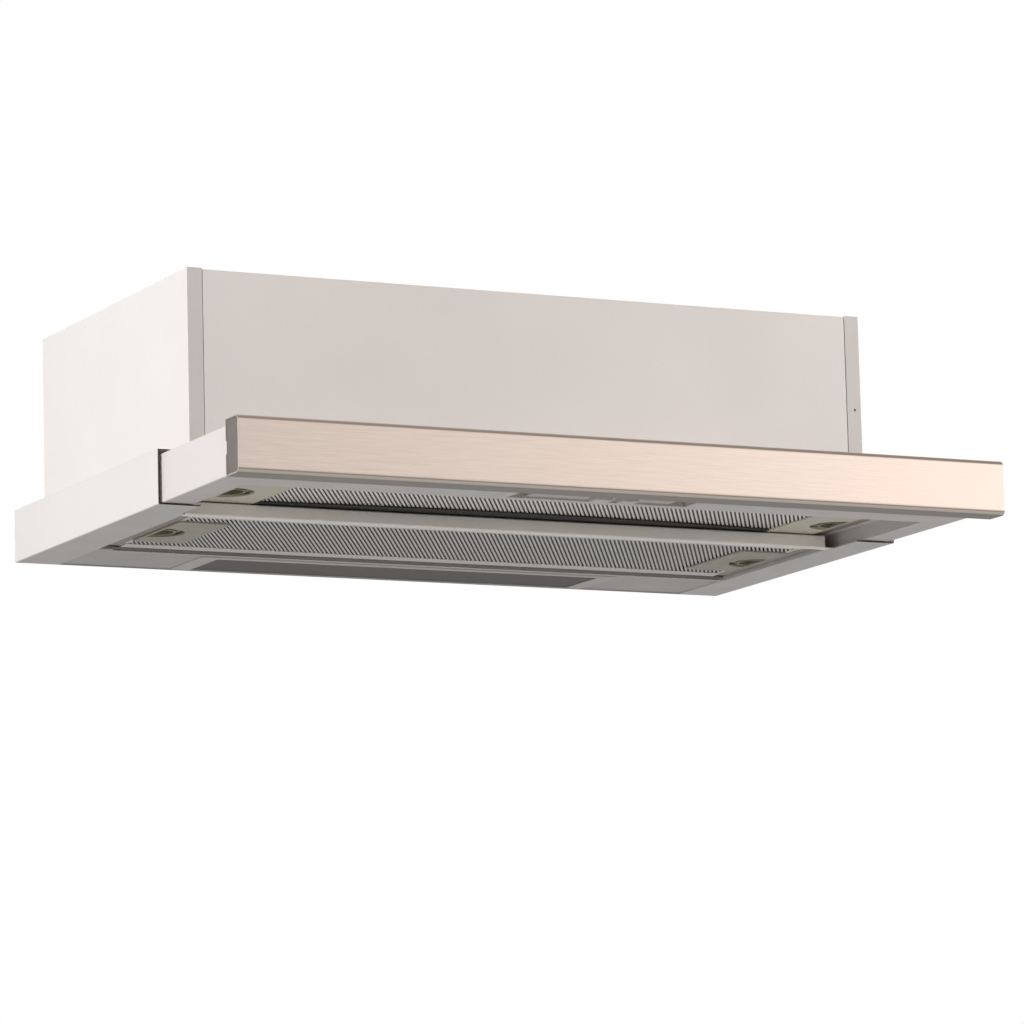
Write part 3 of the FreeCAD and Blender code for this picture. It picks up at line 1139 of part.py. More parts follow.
def latch_slider(word, end, side, back, level):
    """Sprung latch slider: a flat slide with a tongue at its outer end and a half-round grip."""
    centre = "%s + window_offset" % plate_middle(back)
    base = "(%s + %s)" % (level, LATCH_LIFT)
    top = base + " + latch_thick"
    inner_end = WINDOW_INNER + " - latch_tail"
    flat = block("%s_slide_%s" % (word, end), outward(side, inner_end, PLATE_END),
                 about(centre, "(window_radius + latch_margin)"), (base, top))
    tongue = block("%s_tongue_%s" % (word, end), outward(side, inner_end, HALF_FILTER + " + latch_reach"),
                   about(centre, "tongue_depth / 2"), (base, top))
    grip_radius = "(window_radius - latch_travel - grip_gap)"
    grip = finger_window("%s_grip_%s" % (word, end), side, centre, grip_radius,
                         level + " - plate_thick + grip_sink", top)
    finger_hole = finger_window("%s_finger_%s" % (word, end), side, centre, "(%s - grip_thick)" % grip_radius,
                                level + " - plate_thick", top + " + latch_thick")
    whole = joined("%s_slider_union_%s" % (word, end), flat, tongue, grip)
    return piece("%s_latch_%s" % (word, end), cut("%s_slider_%s" % (word, end), whole, finger_hole))


def grease_filter(word, back, level):
    """Every piece of one grease filter."""
    filter_frame(word, back, level)
    slotted_sheet(word, back, level)
    mesh_pack(word, back, level)
    for end, side in SIDES:
        latch_plate(word, end, side, back, level)
        latch_slider(word, end, side, back, level)


def filter_seal():
    """Black strip along the rear of the drawer filter, bowed at its front edge."""
    level = FRONT_FILTER_LEVEL
    half = "(%s - seal_gap)" % PLATE_INNER
    rear = "-%s - filter_rim" % FRONT_FILTER_BACK
    front = rear + " - seal_width"
    strip = block("seal_block", about("0", half), (front, rear), (level + " - seal_thick", level))
    bow = "((%s * %s + seal_bow * seal_bow) / (2 * seal_bow))" % (half, half)
    arc = rod("seal_arc", "z", ("0", "%s + %s" % (front, bow), level + " - 2 * seal_thick"), bow,
              "4 * seal_thick")
    shape = doc.addObject("Part::Common", "seal_common")
    shape.Base = strip
    shape.Tool = arc
    return piece("front_filter_seal", shape)


# ---- travel switch

def travel_switch():
    """Switch under the deck that starts the blower once the drawer leaves its plunger."""
    base = "(frame_height - sheet_thick - travel_switch_height)"
    level = "%s + travel_switch_height / 2" % base
    place = "(%s - runner_flange - travel_switch_gap - travel_switch_width / 2)" % RUNNER_WEB
    body = block("travel_switch_case", about(place, "travel_switch_width / 2"),
                 ("-travel_switch_front", "-travel_switch_front + travel_switch_depth"),
                 (base, base + " + travel_switch_height"))
    hole = rod("travel_switch_hole", "y", (place, "-travel_switch_front - sheet_thick", level),
               "plunger_radius + running_gap", "plunger_grip + 4 * sheet_thick")
    piece("travel_switch", cut("travel_switch_cut", body, hole))
    tip = (place, "-travel_switch_front - plunger_reach", level)
    piece("travel_switch_plunger", rod("plunger_rod", "y", tip, "plunger_radius", "plunger_reach + plunger_grip"))


def write_pieces():
    """Checks every object of the document, then writes each finished piece."""
    doc.recompute()
    faults = [o.Name for o in doc.Objects if "Invalid" in o.State or "Error" in o.State]
    for item in pieces:
        if item.Shape.isNull() or not item.Shape.isValid() or not item.Shape.Solids:
            faults.append(item.Label)
    if faults:
        sys.exit("not built: " + ", ".join(faults))
    os.makedirs("parts", exist_ok=True)
    for item in pieces:
        item.Shape.exportStep(os.path.join("parts", item.Label + ".step"))
        print(item.Label, len(item.Shape.Solids), round(item.Shape.Volume, 1))


moving_runners = doc.addObject("Part::Compound", "moving_runner_group")
members = []
for word, side in SIDES:
    side_rail(word, side)
    casing_side(word, side)
    scroll_half(word, side)
    slide_side(word, side)
    members.append(runner(word, side))
moving_runners.Links = members
piece("runners_moving", moving_runners)
cross_rail()
rear_plate()
deck()
front_plate()
top_plate()
rear_casing_plate()
casing_screws()
collar()
flap_axle()
flap("rear", 1)
flap("front", -1)
impeller()
motor_parts()
capacitor()
mains_inlet()
lamp()
slide_front_rail()
slide_cover()
front_panel()
switch_strip()
switch_knob("light", "light_knob_side")
switch_knob("fan", "fan_knob_side")
grease_filter("rear", REAR_FILTER_BACK, REAR_FILTER_LEVEL)
grease_filter("front", FRONT_FILTER_BACK, FRONT_FILTER_LEVEL)
filter_seal()
travel_switch()
write_pieces()
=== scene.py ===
import json
import math

import bmesh
import bpy
from mathutils import Matrix, Vector


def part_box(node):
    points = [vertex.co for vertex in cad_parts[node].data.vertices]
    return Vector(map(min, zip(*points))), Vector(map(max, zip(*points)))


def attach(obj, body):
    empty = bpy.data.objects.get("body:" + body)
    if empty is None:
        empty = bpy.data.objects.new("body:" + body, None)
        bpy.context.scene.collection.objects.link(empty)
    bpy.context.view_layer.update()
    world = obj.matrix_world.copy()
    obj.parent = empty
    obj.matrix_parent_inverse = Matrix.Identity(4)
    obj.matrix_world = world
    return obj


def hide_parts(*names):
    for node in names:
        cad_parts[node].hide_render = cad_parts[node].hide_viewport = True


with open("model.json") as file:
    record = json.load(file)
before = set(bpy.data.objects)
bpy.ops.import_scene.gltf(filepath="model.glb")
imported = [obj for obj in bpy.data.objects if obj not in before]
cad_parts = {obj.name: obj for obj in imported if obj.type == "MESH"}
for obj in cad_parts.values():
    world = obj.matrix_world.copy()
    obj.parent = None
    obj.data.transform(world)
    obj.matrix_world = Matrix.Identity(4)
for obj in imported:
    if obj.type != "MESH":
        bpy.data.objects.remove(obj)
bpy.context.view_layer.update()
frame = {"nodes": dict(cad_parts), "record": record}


# camera: below the hood, to the left of it, a long lens from four metres

cameraSetup = {
    "place": (-1.70707, -3.64626, -0.60861),
    "right": (0.89600, -0.44332, -0.02572),
    "down": (0.04886, 0.15599, -0.98655),
    "lens": 187.75,
    "sensor": 36,
    "farthest": 50,
}


def makeCamera(setup):
    data = bpy.data.cameras.new("photoCamera")
    data.sensor_width = setup["sensor"]
    data.lens = setup["lens"]
    data.clip_end = setup["farthest"]
    camera = bpy.data.objects.new("photoCamera", data)
    bpy.context.collection.objects.link(camera)
    right = Vector(setup["right"]).normalized()
    up = -Vector(setup["down"]).normalized()
    up = (up - right * up.dot(right)).normalized()
    back = right.cross(up)
    turn = Matrix((right, up, back)).transposed().to_4x4()
    camera.matrix_world = Matrix.Translation(setup["place"]) @ turn
    bpy.context.scene.camera = camera


makeCamera(cameraSetup)


# floor, world and lights

stageSetup = {
    "floorLevel": -0.66,
    "floorHalf": 14.0,
    "floorColour": (0.74, 0.74, 0.73),
    "floorRoughness": 0.8,
    "floorGlow": 0.88,
    "floorGlowShare": 0.42,
    "worldColour": (1.0, 0.995, 0.99),
    "worldLight": 0.22,
    "aim": (0, -0.2, 0.07),
}
lightSetup = {
    "leftSoftbox": dict(place=(-3.0, -0.8, 0.5), size=(1.4, 1.2), power=17.5, spread=80,
                        colour=(1, 0.995, 0.99)),
    "frontSoftbox": dict(place=(-0.6, -3.2, 1.6), size=(1.8, 1.2), power=2.5, spread=100,
                         colour=(1, 0.96, 0.93)),
    "rightSoftbox": dict(place=(2.4, -2.3, 0.6), size=(2.0, 1.6), power=24, spread=110,
                         colour=(1, 0.94, 0.9)),
    "topSoftbox": dict(place=(0.2, 0.6, 2.4), size=(2.0, 1.6), power=6, spread=120,
                       colour=(1, 0.99, 0.98)),
    "backSoftbox": dict(place=(0.7, 2.9, 1.0), size=(1.8, 1.4), power=7, spread=100,
                        colour=(1, 0.99, 0.98)),
}


def rayKinds(nodes, links, *kinds):
    # one when the ray is any of the kinds
    path = nodes.new("ShaderNodeLightPath")
    seen = path.outputs[kinds[0]]
    for kind in kinds[1:]:
        add = nodes.new("ShaderNodeMath")
        add.operation = "MAXIMUM"
        links.new(seen, add.inputs[0])
        links.new(path.outputs[kind], add.inputs[1])
        seen = add.outputs[0]
    return seen


def makeWorld(setup):
    # white where it is seen directly, in gloss and through the lens, and softer as a light
    world = bpy.data.worlds.new("whiteStudio")
    bpy.context.scene.world = world
    world.use_nodes = True
    nodes, links = world.node_tree.nodes, world.node_tree.links
    nodes.clear()
    output = nodes.new("ShaderNodeOutputWorld")
    soft = nodes.new("ShaderNodeBackground")
    soft.inputs["Color"].default_value = (*setup["worldColour"], 1)
    soft.inputs["Strength"].default_value = setup["worldLight"]
    white = nodes.new("ShaderNodeBackground")
    white.inputs["Color"].default_value = (1, 1, 1, 1)
    white.inputs["Strength"].default_value = 1
    seen = rayKinds(nodes, links, "Is Camera Ray", "Is Glossy Ray", "Is Transmission Ray")
    mix = nodes.new("ShaderNodeMixShader")
    links.new(seen, mix.inputs[0])
    links.new(soft.outputs[0], mix.inputs[1])
    links.new(white.outputs[0], mix.inputs[2])
    links.new(mix.outputs[0], output.inputs["Surface"])


def makeFloor(setup):
    # pale from above with the hood's shadow on it, and see-through for a camera that looks up through it
    half, level = setup["floorHalf"], setup["floorLevel"]
    mesh = bpy.data.meshes.new("floor")
    mesh.from_pydata([(-half, -half, level), (half, -half, level), (half, half, level), (-half, half, level)],
                     [], [(0, 1, 2, 3)])
    floor = bpy.data.objects.new("floor", mesh)
    bpy.context.collection.objects.link(floor)
    material = bpy.data.materials.new("floorPaint")
    material.use_nodes = True
    nodes, links = material.node_tree.nodes, material.node_tree.links
    shader = nodes["Principled BSDF"]
    shader.inputs["Base Color"].default_value = (*setup["floorColour"], 1)
    shader.inputs["Roughness"].default_value = setup["floorRoughness"]
    glow = nodes.new("ShaderNodeEmission")
    glow.inputs["Color"].default_value = (1, 1, 1, 1)
    glow.inputs["Strength"].default_value = setup["floorGlow"]
    clear = nodes.new("ShaderNodeBsdfTransparent")
    geometry = nodes.new("ShaderNodeNewGeometry")
    camera = rayKinds(nodes, links, "Is Camera Ray")
    seen = rayKinds(nodes, links, "Is Camera Ray", "Is Glossy Ray", "Is Transmission Ray")
    share = nodes.new("ShaderNodeMath")
    share.operation = "MULTIPLY"
    share.inputs[1].default_value = setup["floorGlowShare"]
    links.new(seen, share.inputs[0])
    pale = nodes.new("ShaderNodeMixShader")
    links.new(share.outputs[0], pale.inputs[0])
    links.new(shader.outputs[0], pale.inputs[1])
    links.new(glow.outputs[0], pale.inputs[2])
    below = nodes.new("ShaderNodeMath")
    below.operation = "MULTIPLY"
    links.new(geometry.outputs["Backfacing"], below.inputs[0])
    links.new(camera, below.inputs[1])
    mix = nodes.new("ShaderNodeMixShader")
    links.new(below.outputs[0], mix.inputs[0])
    links.new(pale.outputs[0], mix.inputs[1])
    links.new(clear.outputs[0], mix.inputs[2])
    links.new(mix.outputs[0], nodes["Material Output"].inputs["Surface"])
    mesh.materials.append(material)


def makeLights(setup, aim):
    for name, light in setup.items():
        data = bpy.data.lights.new(name, "AREA")
        data.shape = "RECTANGLE"
        data.size, data.size_y = light["size"]
        data.energy = light["power"]
        data.spread = math.radians(light["spread"])
        data.color = light["colour"]
        lamp = bpy.data.objects.new(name, data)
        bpy.context.collection.objects.link(lamp)
        place = Vector(light["place"])
        turn = (place - Vector(aim)).to_track_quat("Z", "Y").to_matrix().to_4x4()
        lamp.matrix_world = Matrix.Translation(place) @ turn


makeWorld(stageSetup)
makeFloor(stageSetup)
makeLights(lightSetup, stageSetup["aim"])
bpy.context.scene.view_settings.view_transform = "Standard"
print("stage ready:", len(lightSetup), "lights")


# one procedural material, built up step by step from noise in the object's own coordinates

class Surface:
    def __init__(self, name, colour, roughness, metallic=0.0):
        self.material = bpy.data.materials.new(name)
        self.material.use_nodes = True
        self.nodes = self.material.node_tree.nodes
        self.links = self.material.node_tree.links
        self.shader = self.nodes["Principled BSDF"]
        self.shader.inputs["Metallic"].default_value = metallic
        self.texture = self.nodes.new("ShaderNodeTexCoord")
        self.coordinates = self.texture.outputs["Object"]
        self.colour = self.flatColour(colour)
        self.roughness = roughness
        self.height = None

    def flatColour(self, colour):
        node = self.nodes.new("ShaderNodeRGB")
        node.outputs[0].default_value = (*colour, 1)
        return node.outputs[0]

    def noise(self, scale, stretch=(1, 1, 1), detail=2, rough=0.5):
        mapping = self.nodes.new("ShaderNodeMapping")
        mapping.inputs["Scale"].default_value = stretch
        self.links.new(self.coordinates, mapping.inputs["Vector"])
        node = self.nodes.new("ShaderNodeTexNoise")
        node.inputs["Scale"].default_value = scale
        node.inputs["Detail"].default_value = detail
        node.inputs["Roughness"].default_value = rough
        self.links.new(mapping.outputs[0], node.inputs["Vector"])
        return node.outputs["Fac"]

    def cells(self, scale, output="Distance", feature="F1"):
        node = self.nodes.new("ShaderNodeTexVoronoi")
        node.feature = feature
        node.inputs["Scale"].default_value = scale
        self.links.new(self.coordinates, node.inputs["Vector"])
        return node.outputs[output]

    def spread(self, value, low, high, start=0.3, end=0.7):
        # low at the start of the value's range and high at its end
        node = self.nodes.new("ShaderNodeMapRange")
        node.inputs["From Min"].default_value = start
        node.inputs["From Max"].default_value = end
        node.inputs["To Min"].default_value = low
        node.inputs["To Max"].default_value = high
        self.links.new(value, node.inputs["Value"])
        return node.outputs[0]

    def join(self, first, second, operation="ADD"):
        node = self.nodes.new("ShaderNodeMath")
        node.operation = operation
        for socket, value in zip(node.inputs, (first, second)):
            if isinstance(value, float):
                socket.default_value = value
            else:
                self.links.new(value, socket)
        return node.outputs[0]

    def along(self, axis):
        # the place on the object along x, y or z, in metres
        parts = self.nodes.new("ShaderNodeSeparateXYZ")
        self.links.new(self.coordinates, parts.inputs[0])
        return parts.outputs[axis.upper()]

    def facing(self, direction):
        # one where the surface faces that way, zero where it is square to it
        dot = self.nodes.new("ShaderNodeVectorMath")
        dot.operation = "DOT_PRODUCT"
        dot.inputs[1].default_value = direction
        self.links.new(self.texture.outputs["Normal"], dot.inputs[0])
        return dot.outputs["Value"]

    def shade(self, value, low, high, start=0.3, end=0.7):
        # multiplies the colour by a grey that follows the value
        node = self.nodes.new("ShaderNodeMix")
        node.data_type = "RGBA"
        node.blend_type = "MULTIPLY"
        node.inputs["Factor"].default_value = 1
        self.links.new(self.colour, node.inputs["A"])
        self.links.new(self.spread(value, low, high, start, end), node.inputs["B"])
        self.colour = node.outputs["Result"]

    def tint(self, value, colour, start=0.3, end=0.7, most=1.0):
        # mixes another colour in where the value is high
        node = self.nodes.new("ShaderNodeMix")
        node.data_type = "RGBA"
        self.links.new(self.spread(value, 0.0, most, start, end), node.inputs["Factor"])
        self.links.new(self.colour, node.inputs["A"])
        node.inputs["B"].default_value = (*colour, 1)
        self.colour = node.outputs["Result"]

    def varyRoughness(self, value, less, more):
        # takes the even roughness down by less and up by more
        self.roughness = self.spread(value, self.roughness - less, self.roughness + more)

    def raiseBy(self, value, amount):
        scaled = self.join(value, float(amount), "MULTIPLY")
        self.height = scaled if self.height is None else self.join(self.height, scaled)

    def edges(self, radius, samples=4):
        # high along edges, found by comparing a rounded normal with the true one
        bevel = self.nodes.new("ShaderNodeBevel")
        bevel.samples = samples
        bevel.inputs["Radius"].default_value = radius
        geometry = self.nodes.new("ShaderNodeNewGeometry")
        dot = self.nodes.new("ShaderNodeVectorMath")
        dot.operation = "DOT_PRODUCT"
        self.links.new(bevel.outputs[0], dot.inputs[0])
        self.links.new(geometry.outputs["Normal"], dot.inputs[1])
        return self.join(1.0, dot.outputs["Value"], "SUBTRACT")

    def finish(self, **settings):
        self.links.new(self.colour, self.shader.inputs["Base Color"])
        if isinstance(self.roughness, float):
            self.shader.inputs["Roughness"].default_value = self.roughness
        else:
            self.links.new(self.roughness, self.shader.inputs["Roughness"])
        if self.height is not None:
            node = self.nodes.new("ShaderNodeBump")
            node.inputs["Distance"].default_value = 1
            node.inputs["Strength"].default_value = 1
            self.links.new(self.height, node.inputs["Height"])
            self.links.new(node.outputs[0], self.shader.inputs["Normal"])
        for name, value in settings.items():
            self.shader.inputs[name.replace("_", " ")].default_value = value
        return self.material


looks = {}


# stoved paint on folded sheet: faint clouds, a fine orange peel and tinted edges, darker on most sheets and
# lighter on the rear plate as a painted highlight

paintedSheets = {
    "casing_paint": dict(colour=(0.72, 0.685, 0.665)),
    # painted shade: the casing sides' front-facing flanges are darkened
    "casingSideShadedPaint": dict(colour=(0.72, 0.685, 0.665), paintedFlangeShade=0.82),
    # painted shade on the frame's undersides, and a painted shadow on the cut edge at the drawer's mouth
    "frame_paint": dict(colour=(0.67, 0.635, 0.625), shadowGapFront=-0.2735, paintedUnderShade=0.8),
    # painted shade on the drawer's undersides
    "drawer_paint": dict(colour=(0.64, 0.60, 0.59), paintedUnderShade=0.9),
    # painted light: a lighter copy of the frame paint for the cross rail, with a painted highlight at its
    # right end
    "crossRailLitPaint": dict(colour=(0.86, 0.825, 0.775), highlightFrom=0.2557),
    # painted shade: a darker copy of the frame paint for the rear plate, its edges lightened as a painted
    # highlight along the folds
    "rearPlateShadedPaint": dict(colour=(0.42, 0.388, 0.375), edge=1.3),
    # painted shade: dark brown for the shade in the filters' end grooves
    "filterEndShadePaint": dict(colour=(0.26, 0.215, 0.185)),
    "lamp_metal": dict(colour=(0.80, 0.80, 0.78)),
    "motor_metal": dict(colour=(0.25, 0.26, 0.28)),
}
paintTexture = {
    "cloudScale": 7,
    "cloudShade": (0.965, 1.02),
    "speckScale": 900,
    "speckShade": (0.975, 1.015),
    "edgeRadius": 0.0012,
    "edgeTint": (0.02, 0.35, 0.5),
    "facingRange": (0.7, 0.95),
    "highlightColour": (1.0, 0.97, 0.92),
    "highlightBlend": 0.0002,
    "shadowGapColour": (0.03, 0.028, 0.026),
    "shadowGapBlend": 0.0003,
    "shadowGapRange": (0.6, 0.8),
    "glossScale": 22,
    "glossRange": (0.07, 0.08),
    "peelScale": 1400,
    "peelHeight": 0.000006,
    "waveScale": 60,
    "waveHeight": 0.00002,
    "specular": 0.3,
}


def paintedSheet(name, texture, colour, roughness=0.42, edge=0.78, shadowGapFront=None, highlightFrom=None,
                 paintedFlangeShade=None, paintedUnderShade=None):
    paint = Surface(name, colour, roughness)
    paint.shade(paint.noise(texture["cloudScale"], detail=3), *texture["cloudShade"])
    paint.shade(paint.noise(texture["speckScale"]), *texture["speckShade"])
    paint.tint(paint.edges(texture["edgeRadius"]), [min(1, c * edge) for c in colour], *texture["edgeTint"])
    # painted shade: faces that look down are darkened
    if paintedUnderShade:
        paint.shade(paint.facing((0, 0, -1)), 1.0, paintedUnderShade, *texture["facingRange"])
    # painted shade: faces that look to the front are darkened
    if paintedFlangeShade:
        paint.shade(paint.facing((0, -1, 0)), 1.0, paintedFlangeShade, *texture["facingRange"])
    if highlightFrom:
        # painted highlight: a pale band at the right end of the cross rail
        blend = texture["highlightBlend"]
        paint.tint(paint.along("x"), texture["highlightColour"], highlightFrom - blend, highlightFrom + blend)
    if shadowGapFront:
        # painted shadow: the cut edge at the drawer's mouth is painted nearly black for the shadow in the gap
        # there
        ahead = paint.spread(paint.along("y"), 1.0, 0.0, shadowGapFront - texture["shadowGapBlend"], shadowGapFront)
        gapShadowMask = paint.join(ahead, paint.facing((0, -1, 0)), "MULTIPLY")
        paint.tint(gapShadowMask, texture["shadowGapColour"], *texture["shadowGapRange"])
    paint.varyRoughness(paint.noise(texture["glossScale"], detail=4), *texture["glossRange"])
    paint.raiseBy(paint.noise(texture["peelScale"], detail=1), texture["peelHeight"])
    paint.raiseBy(paint.noise(texture["waveScale"]), texture["waveHeight"])
    return paint.finish(Specular_IOR_Level=texture["specular"])


for name, look in paintedSheets.items():
    looks[name] = paintedSheet(name, paintTexture, **look)


# the front panel's steel: fine grain along x, bends painted dark brown as painted shade, a pale roll as a
# painted highlight and an underside painted dark as painted shade

panelSteel = {
    "colour": (0.485, 0.412, 0.367),
    "metallic": 0.6,
    "roughness": 0.44,
    "glossRange": (0.06, 0.08),
    "grain": (1, 52, 52),
    "grainScale": 36,
    "grainDetail": 4,
    "grainRough": 0.75,
    "grainHeight": 0.000008,
    "contrast": 0.12,
    "bendShadeColour": (0.17, 0.125, 0.095),
    "bendFront": (0.985, 0.93),
    "bendTop": (0.05, 0.25),
    "bendShadeShare": 0.8,
    "rollHighlightColour": (0.55, 0.50, 0.45),
    "rollHighlightRange": (0.35, 0.55),
    "underShadeColour": (0.245, 0.217, 0.197),
    "underShadeRange": (0.85, 0.97),
}


def makePanelSteel(name, setup):
    steel = Surface(name, setup["colour"], setup["roughness"], setup["metallic"])
    grain = steel.noise(setup["grainScale"], setup["grain"], setup["grainDetail"], setup["grainRough"])
    steel.shade(grain, 1 - setup["contrast"], 1 + setup["contrast"])
    front = steel.facing((0, -1, 0))
    leaving = steel.spread(front, 0.0, 1.0, *setup["bendFront"])
    arriving = steel.spread(front, 0.0, 1.0, *setup["bendTop"])
    # painted shade: the bends off the front face are tinted dark brown
    bendShade = steel.join(leaving, arriving, "MULTIPLY")
    steel.tint(bendShade, setup["bendShadeColour"], 0.0, 1.0, setup["bendShadeShare"])
    below = steel.facing((0, 0, -1))
    # painted highlight: the roll at the bottom edge is tinted pale
    steel.tint(below, setup["rollHighlightColour"], *setup["rollHighlightRange"])
    # painted shade: the underside is tinted dark
    steel.tint(below, setup["underShadeColour"], *setup["underShadeRange"])
    steel.varyRoughness(grain, *setup["glossRange"])
    steel.raiseBy(grain, setup["grainHeight"])
    return steel.finish()


looks["panel_steel"] = makePanelSteel("panel_steel", panelSteel)


# the flaps' axle is drawn bar with its grain along the length

axleSteel = {
    "colour": (0.6, 0.6, 0.6),
    "roughness": 0.3,
    "glossRange": (0.06, 0.08),
    "grain": (1, 60, 60),
    "grainScale": 30,
    "grainDetail": 4,
    "grainRough": 0.7,
    "grainHeight": 0.00001,
    "grainShade": (0.94, 1.036),
}


def makeAxleSteel(name, setup):
    steel = Surface(name, setup["colour"], setup["roughness"], 1.0)
    grain = steel.noise(setup["grainScale"], setup["grain"], setup["grainDetail"], setup["grainRough"])
    steel.shade(grain, *setup["grainShade"])
    steel.varyRoughness(grain, *setup["glossRange"])
    steel.raiseBy(grain, setup["grainHeight"])
    return steel.finish()


looks["axle_steel"] = makeAxleSteel("axle_steel", axleSteel)


# zinc-plated steel with faint crystal patches

zincSheets = {
    "screw_steel": dict(colour=(0.50, 0.50, 0.50)),
    "runner_steel": dict(colour=(0.60, 0.60, 0.60)),
    "bracket_steel": dict(colour=(0.60, 0.60, 0.60)),
}
zincTexture = {
    "metallic": 0.9,
    "roughness": 0.38,
    "glossScale": 120,
    "glossRange": (0.1, 0.12),
    "crystalScale": 220,
    "crystalShade": (0.92, 1.03, 0.0, 0.8),
    "cloudScale": 40,
    "cloudShade": (0.93, 1.02),
    "grainScale": 500,
    "grainHeight": 0.00001,
}


def zincSheet(name, texture, colour):
    zinc = Surface(name, colour, texture["roughness"], texture["metallic"])
    zinc.shade(zinc.cells(texture["crystalScale"]), *texture["crystalShade"])
    zinc.shade(zinc.noise(texture["cloudScale"], detail=3), *texture["cloudShade"])
    zinc.varyRoughness(zinc.noise(texture["glossScale"]), *texture["glossRange"])
    zinc.raiseBy(zinc.noise(texture["grainScale"]), texture["grainHeight"])
    return zinc.finish()


for name, look in zincSheets.items():
    looks[name] = zincSheet(name, zincTexture, **look)


# moulded plastic with a fine spark-eroded texture

plastics = {
    "cap_plastic": dict(colour=(0.13, 0.115, 0.105)),
    "switch_plastic": dict(colour=(0.50, 0.47, 0.455)),
    "knob_plastic": dict(colour=(0.60, 0.57, 0.55)),
    "latch_plate_plastic": dict(colour=(0.56, 0.53, 0.435)),
    # painted shade: a darker copy of the latch plate plastic for the rear latch plates
    "rearLatchPlateShaded": dict(colour=(0.335, 0.312, 0.262)),
    "latch_plastic": dict(colour=(0.24, 0.215, 0.145)),
    "bezel_plastic": dict(colour=(0.50, 0.475, 0.455)),
    "socket_ceramic": dict(colour=(0.75, 0.74, 0.70), roughness=0.25),
    "bulb_glass": dict(colour=(0.85, 0.85, 0.82), roughness=0.15),
    "collar_plastic": dict(colour=(0.03, 0.03, 0.03)),
    "flap_plastic": dict(colour=(0.05, 0.05, 0.05)),
    "scroll_plastic": dict(colour=(0.05, 0.05, 0.05)),
    "impeller_plastic": dict(colour=(0.09, 0.09, 0.09)),
    "capacitor_plastic": dict(colour=(0.7, 0.7, 0.68), roughness=0.3),
    "terminal_plastic": dict(colour=(0.04, 0.04, 0.04)),
    "gland_plastic": dict(colour=(0.04, 0.04, 0.04)),
    "travel_switch_plastic": dict(colour=(0.04, 0.04, 0.04)),
    "plunger_plastic": dict(colour=(0.12, 0.12, 0.12), roughness=0.35),
}
plasticTexture = {
    "cloudScale": 15,
    "cloudShade": (0.96, 1.02),
    "grainScale": 1200,
    "grainShade": (0.95, 1.04),
    "grainHeight": 0.000012,
    "edgeRadius": 0.0008,
    "edgeLighter": (1.15, 0.01),
    "edgeTint": (0.02, 0.4, 0.4),
    "glossScale": 60,
    "glossRange": (0.08, 0.1),
    "specular": 0.35,
}


def mouldedPlastic(name, texture, colour, roughness=0.5):
    plastic = Surface(name, colour, roughness)
    plastic.shade(plastic.noise(texture["cloudScale"]), *texture["cloudShade"])
    plastic.shade(plastic.noise(texture["grainScale"], detail=1), *texture["grainShade"])
    times, plus = texture["edgeLighter"]
    rubbed = [min(1, c * times + plus) for c in colour]
    plastic.tint(plastic.edges(texture["edgeRadius"]), rubbed, *texture["edgeTint"])
    plastic.varyRoughness(plastic.noise(texture["glossScale"], detail=3), *texture["glossRange"])
    plastic.raiseBy(plastic.noise(texture["grainScale"]), texture["grainHeight"])
    return plastic.finish(Specular_IOR_Level=texture["specular"])


for name, look in plastics.items():
    looks[name] = mouldedPlastic(name, plasticTexture, **look)


# mill-finish aluminium: filter frames with their ends painted dark brown as painted shade, and the slotted
# grilles with painted shade at their slot edges

aluminiumSheets = {
    "filter_frame_aluminium": dict(colour=(0.60, 0.57, 0.55), endShadeFrom=0.2468,
                                   endShadeColour=(0.30, 0.265, 0.235)),
    "rearGrilleAluminium": dict(colour=(0.60, 0.57, 0.55), slotShade=0.15),
    # painted light: a lighter copy of the grille aluminium for the front grille
    "frontGrilleLitAluminium": dict(colour=(0.88, 0.83, 0.80), slotShade=0.35),
}
aluminiumTexture = {
    "metallic": 0.85,
    "roughness": 0.4,
    "glossRange": (0.08, 0.1),
    "grain": (1, 8, 8),
    "grainScale": 120,
    "grainDetail": 3,
    "grainRough": 0.6,
    "grainShade": (0.94, 1.03),
    "grainHeight": 0.00001,
    "cloudScale": 12,
    "cloudShade": (0.96, 1.02),
    "endShadeBlend": 0.0006,
    "slotRadius": 0.0007,
    "slotShadeRange": (0.02, 0.25, 0.85),
}


def aluminiumSheet(name, texture, colour, endShadeFrom=None, endShadeColour=None, slotShade=None):
    sheet = Surface(name, colour, texture["roughness"], texture["metallic"])
    grain = sheet.noise(texture["grainScale"], texture["grain"], texture["grainDetail"], texture["grainRough"])
    sheet.shade(grain, *texture["grainShade"])
    sheet.shade(sheet.noise(texture["cloudScale"]), *texture["cloudShade"])
    # painted shade: the frame's ends, past the given distance from the middle, are tinted dark brown
    if endShadeFrom:
        outward = sheet.join(sheet.along("x"), 0.0, "ABSOLUTE")
        sheet.tint(outward, endShadeColour, endShadeFrom, endShadeFrom + texture["endShadeBlend"])
    # painted shade: the edges of the slots are darkened
    if slotShade:
        sheet.tint(sheet.edges(texture["slotRadius"]), [c * slotShade for c in colour], *texture["slotShadeRange"])
    sheet.varyRoughness(grain, *texture["glossRange"])
    sheet.raiseBy(grain, texture["grainHeight"])
    return sheet.finish()


for name, look in aluminiumSheets.items():
    looks[name] = aluminiumSheet(name, aluminiumTexture, **look)


# layers of expanded mesh behind the slots, painted near black as painted shade, drawn as small strands over
# gaps painted darker as painted shadow

filterMesh = {
    # painted shade: a near-black colour for the mesh that lies in shade behind the slots
    "colour": (0.055, 0.052, 0.05),
    "metallic": 0.6,
    "roughness": 0.5,
    "cell": 260,
    "strandRange": (0.02, 0.16),
    "strandHeight": 0.0004,
    "gap": 0.12,
}


